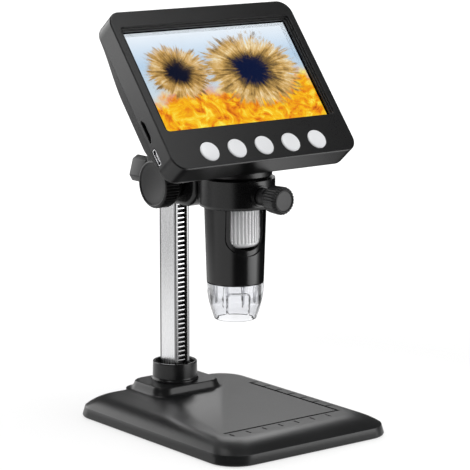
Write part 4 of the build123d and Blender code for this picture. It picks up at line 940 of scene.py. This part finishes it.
class MICROSCOPE_OT_stage(bpy.types.Operator):
    """Build the floor, the soft lamps, the room and the camera"""
    bl_idname = "microscope.stage"
    bl_label = "Stage"

    def execute(self, context):
        stage = context.scene.microscope_stage
        self.floor(stage)
        self.world(stage)
        for name, size, place in LAMPS:
            self.lamp(name + "_box", getattr(stage, name + "_level"), size, self.beside(*place))
        self.lamp("top_box", stage.top_level, (0.50, 0.60), (0.20, -0.30, 1.0))
        self.camera(stage)
        context.scene.view_settings.view_transform = "Standard"
        return {"FINISHED"}

    def floor(self, stage):
        """White table that glows evenly where it is seen; shiny faces see it end before the viewer."""
        form = bmesh.new()
        bmesh.ops.create_grid(form, x_segments=1, y_segments=1, size=6.0)
        thing = thing_of(form, "floor")
        f = Finish("floor_paint")
        away = f.nodes.new("ShaderNodeVectorMath")
        away.operation = "LENGTH"
        f.links.new(f.place, away.inputs[0])
        away = away.outputs["Value"]

        def dark_side(side, half, share, start, end):
            """Share of the floor that is dark, round a direction from the viewer's side in degrees."""
            x, y = self.beside(side, 1.0, 0.0)[:2]
            axes = f.axes()
            toward = f.math("ADD", f.math("MULTIPLY", axes["X"], x), f.math("MULTIPLY", axes["Y"], y))
            toward = f.math("DIVIDE", toward, f.math("MAXIMUM", away, 0.01))
            sector = f.between(toward, 0.0, 1.0, math.cos(math.radians(half + 9.0)),
                               math.cos(math.radians(half - 9.0)), smooth=True)
            return f.math("MULTIPLY", sector, f.between(away, 0.0, share, start, end, smooth=True))

        dark = f.math("MAXIMUM", dark_side(25.0, 35.0, 1.0, 0.12, 0.20),
                      dark_side(138.0, 34.0, 1.0, 0.12, 0.20))
        dark = f.math("MAXIMUM", dark, dark_side(-118.0, 32.0, 0.75, 0.22, 0.55))
        table = f.math("SUBTRACT", 1.0, dark)
        tone = f.between(f.noise(3.0), stage.floor_shade * 0.98, stage.floor_shade)
        tone = f.math("MULTIPLY", table, tone)
        f.set(Base_Color=f.vector(tone, tone, tone), Roughness=0.9, Specular_IOR_Level=0.0)
        path = f.nodes.new("ShaderNodeLightPath").outputs
        behind = f.between(dark_side(180.0, 26.0, 1.0, 0.08, 0.14), 0.2, 1.0)
        behind = f.math("MAXIMUM", behind, f.between(away, 1.0, 0.0, 0.06, 0.12, smooth=True))
        behind = f.math("MULTIPLY", path["Is Transmission Ray"], behind)
        direct = f.math("MAXIMUM", path["Is Camera Ray"], behind)
        seen = f.between(away, stage.floor_glow, 1.0, 0.15, 1.2)
        seen = f.math("ADD", seen, f.math("MULTIPLY", f.math("SUBTRACT", 1.0, table), stage.floor_shade))
        mirrored = f.between(away, stage.mirror_glow * 0.8, stage.mirror_glow, 0.09, 0.2)
        mirrored = f.math("MULTIPLY", table, mirrored)
        glossy = f.math("SUBTRACT", path["Is Glossy Ray"], path["Is Transmission Ray"])
        glossy = f.math("MAXIMUM", glossy, 0.0)
        glow = f.math("ADD", f.math("MULTIPLY", direct, seen), f.math("MULTIPLY", glossy, mirrored))
        f.set(Emission_Color=(1.0, 1.0, 1.0, 1.0), Emission_Strength=glow)
        thing.data.materials.append(f.done())

    def world(self, stage):
        """Evenly soft room, white where it is seen direct or through clear plastic."""
        world = bpy.data.worlds.new("soft_room")
        bpy.context.scene.world = world
        world.use_nodes = True
        nodes, links = world.node_tree.nodes, world.node_tree.links
        back = nodes["Background"]
        back.inputs["Color"].default_value = (1.0, 1.0, 1.0, 1.0)
        path = nodes.new("ShaderNodeLightPath").outputs
        place = nodes.new("ShaderNodeTexCoord").outputs["Generated"]

        def share(value, low, high, start=0.0, end=1.0):
            node = nodes.new("ShaderNodeMapRange")
            node.interpolation_type = "SMOOTHSTEP"
            for key, number in (("Value", value), ("From Min", start), ("From Max", end), ("To Min", low),
                                ("To Max", high)):
                if isinstance(number, bpy.types.NodeSocket):
                    links.new(number, node.inputs[key])
                else:
                    node.inputs[key].default_value = number
            return node.outputs["Result"]

        def toward(direction):
            node = nodes.new("ShaderNodeVectorMath")
            node.operation = "DOT_PRODUCT"
            links.new(place, node.inputs[0])
            node.inputs[1].default_value = direction
            return node.outputs["Value"]

        through = share(toward(self.look(stage)), stage.dark_level, 1.0, math.cos(math.radians(38.0)),
                        math.cos(math.radians(16.0)))
        level = share(path["Is Glossy Ray"], stage.room_level, stage.dark_level)
        level = share(path["Is Transmission Ray"], level, through)
        links.new(share(path["Is Camera Ray"], level, 1.0), back.inputs["Strength"])

    def look(self, stage):
        a, e = stage.camera_turn, stage.camera_drop
        return Vector((-math.sin(a) * math.cos(e), math.cos(a) * math.cos(e), -math.sin(e)))

    def beside(self, side, away, height):
        """Place given by its direction from the viewer's side, in degrees, its distance and height."""
        angle = CAMERA_SIDE + math.radians(side)
        return away * math.cos(angle), away * math.sin(angle), height

    def lamp(self, name, level, size, place):
        """Soft box of an even brightness that faces the part."""
        data = bpy.data.lights.new(name, "AREA")
        data.shape = "RECTANGLE"
        data.size, data.size_y = size
        data.energy = level * math.pi * size[0] * size[1]
        thing = bpy.data.objects.new(name, data)
        thing.location = place
        aim = Vector((0, 0, min(place[2], 0.12))) - thing.location
        thing.rotation_euler = aim.to_track_quat("-Z", "Y").to_euler()
        thing.visible_camera = False
        thing.visible_transmission = False
        bpy.context.collection.objects.link(thing)

    def camera(self, stage):
        data = bpy.data.cameras.new("camera")
        data.lens, data.sensor_width = stage.lens, 36.0
        data.clip_start, data.clip_end = 0.01, 20.0
        thing = bpy.data.objects.new("camera", data)
        bpy.context.collection.objects.link(thing)
        thing.location = stage.camera_place
        thing.rotation_euler = self.look(stage).to_track_quat("-Z", "Y").to_euler()
        bpy.context.scene.camera = thing


class MICROSCOPE_PT_panel(bpy.types.Panel):
    """Lists the microscope's pieces and their settings"""
    bl_idname = "MICROSCOPE_PT_panel"
    bl_label = "Microscope"
    bl_space_type = "VIEW_3D"
    bl_region_type = "UI"
    bl_category = "Microscope"

    def draw(self, context):
        scene = context.scene
        for operator in OPERATORS:
            self.layout.operator(operator.bl_idname)
        for settings in (scene.microscope_stage, scene.microscope_colours, scene.microscope_sizes):
            for name in settings.__annotations__:
                self.layout.prop(settings, name)


OPERATORS = (
    MICROSCOPE_OT_base,
    MICROSCOPE_OT_column,
    MICROSCOPE_OT_carriage,
    MICROSCOPE_OT_knobs,
    MICROSCOPE_OT_screen,
    MICROSCOPE_OT_keys,
    MICROSCOPE_OT_tube,
    MICROSCOPE_OT_stage,
)
CLASSES = (MicroscopeStage, MicroscopeColours, MicroscopeSizes, *OPERATORS, MICROSCOPE_PT_panel)


def register():
    for item in CLASSES:
        bpy.utils.register_class(item)
    bpy.types.Scene.microscope_stage = PointerProperty(type=MicroscopeStage)
    bpy.types.Scene.microscope_colours = PointerProperty(type=MicroscopeColours)
    bpy.types.Scene.microscope_sizes = PointerProperty(type=MicroscopeSizes)


def unregister():
    del bpy.types.Scene.microscope_sizes
    del bpy.types.Scene.microscope_colours
    del bpy.types.Scene.microscope_stage
    for item in reversed(CLASSES):
        bpy.utils.unregister_class(item)


def main():
    register()
    for operator in OPERATORS:
        group, name = operator.bl_idname.split(".")
        getattr(getattr(bpy.ops, group), name)()


if __name__ == "__main__":
    main()
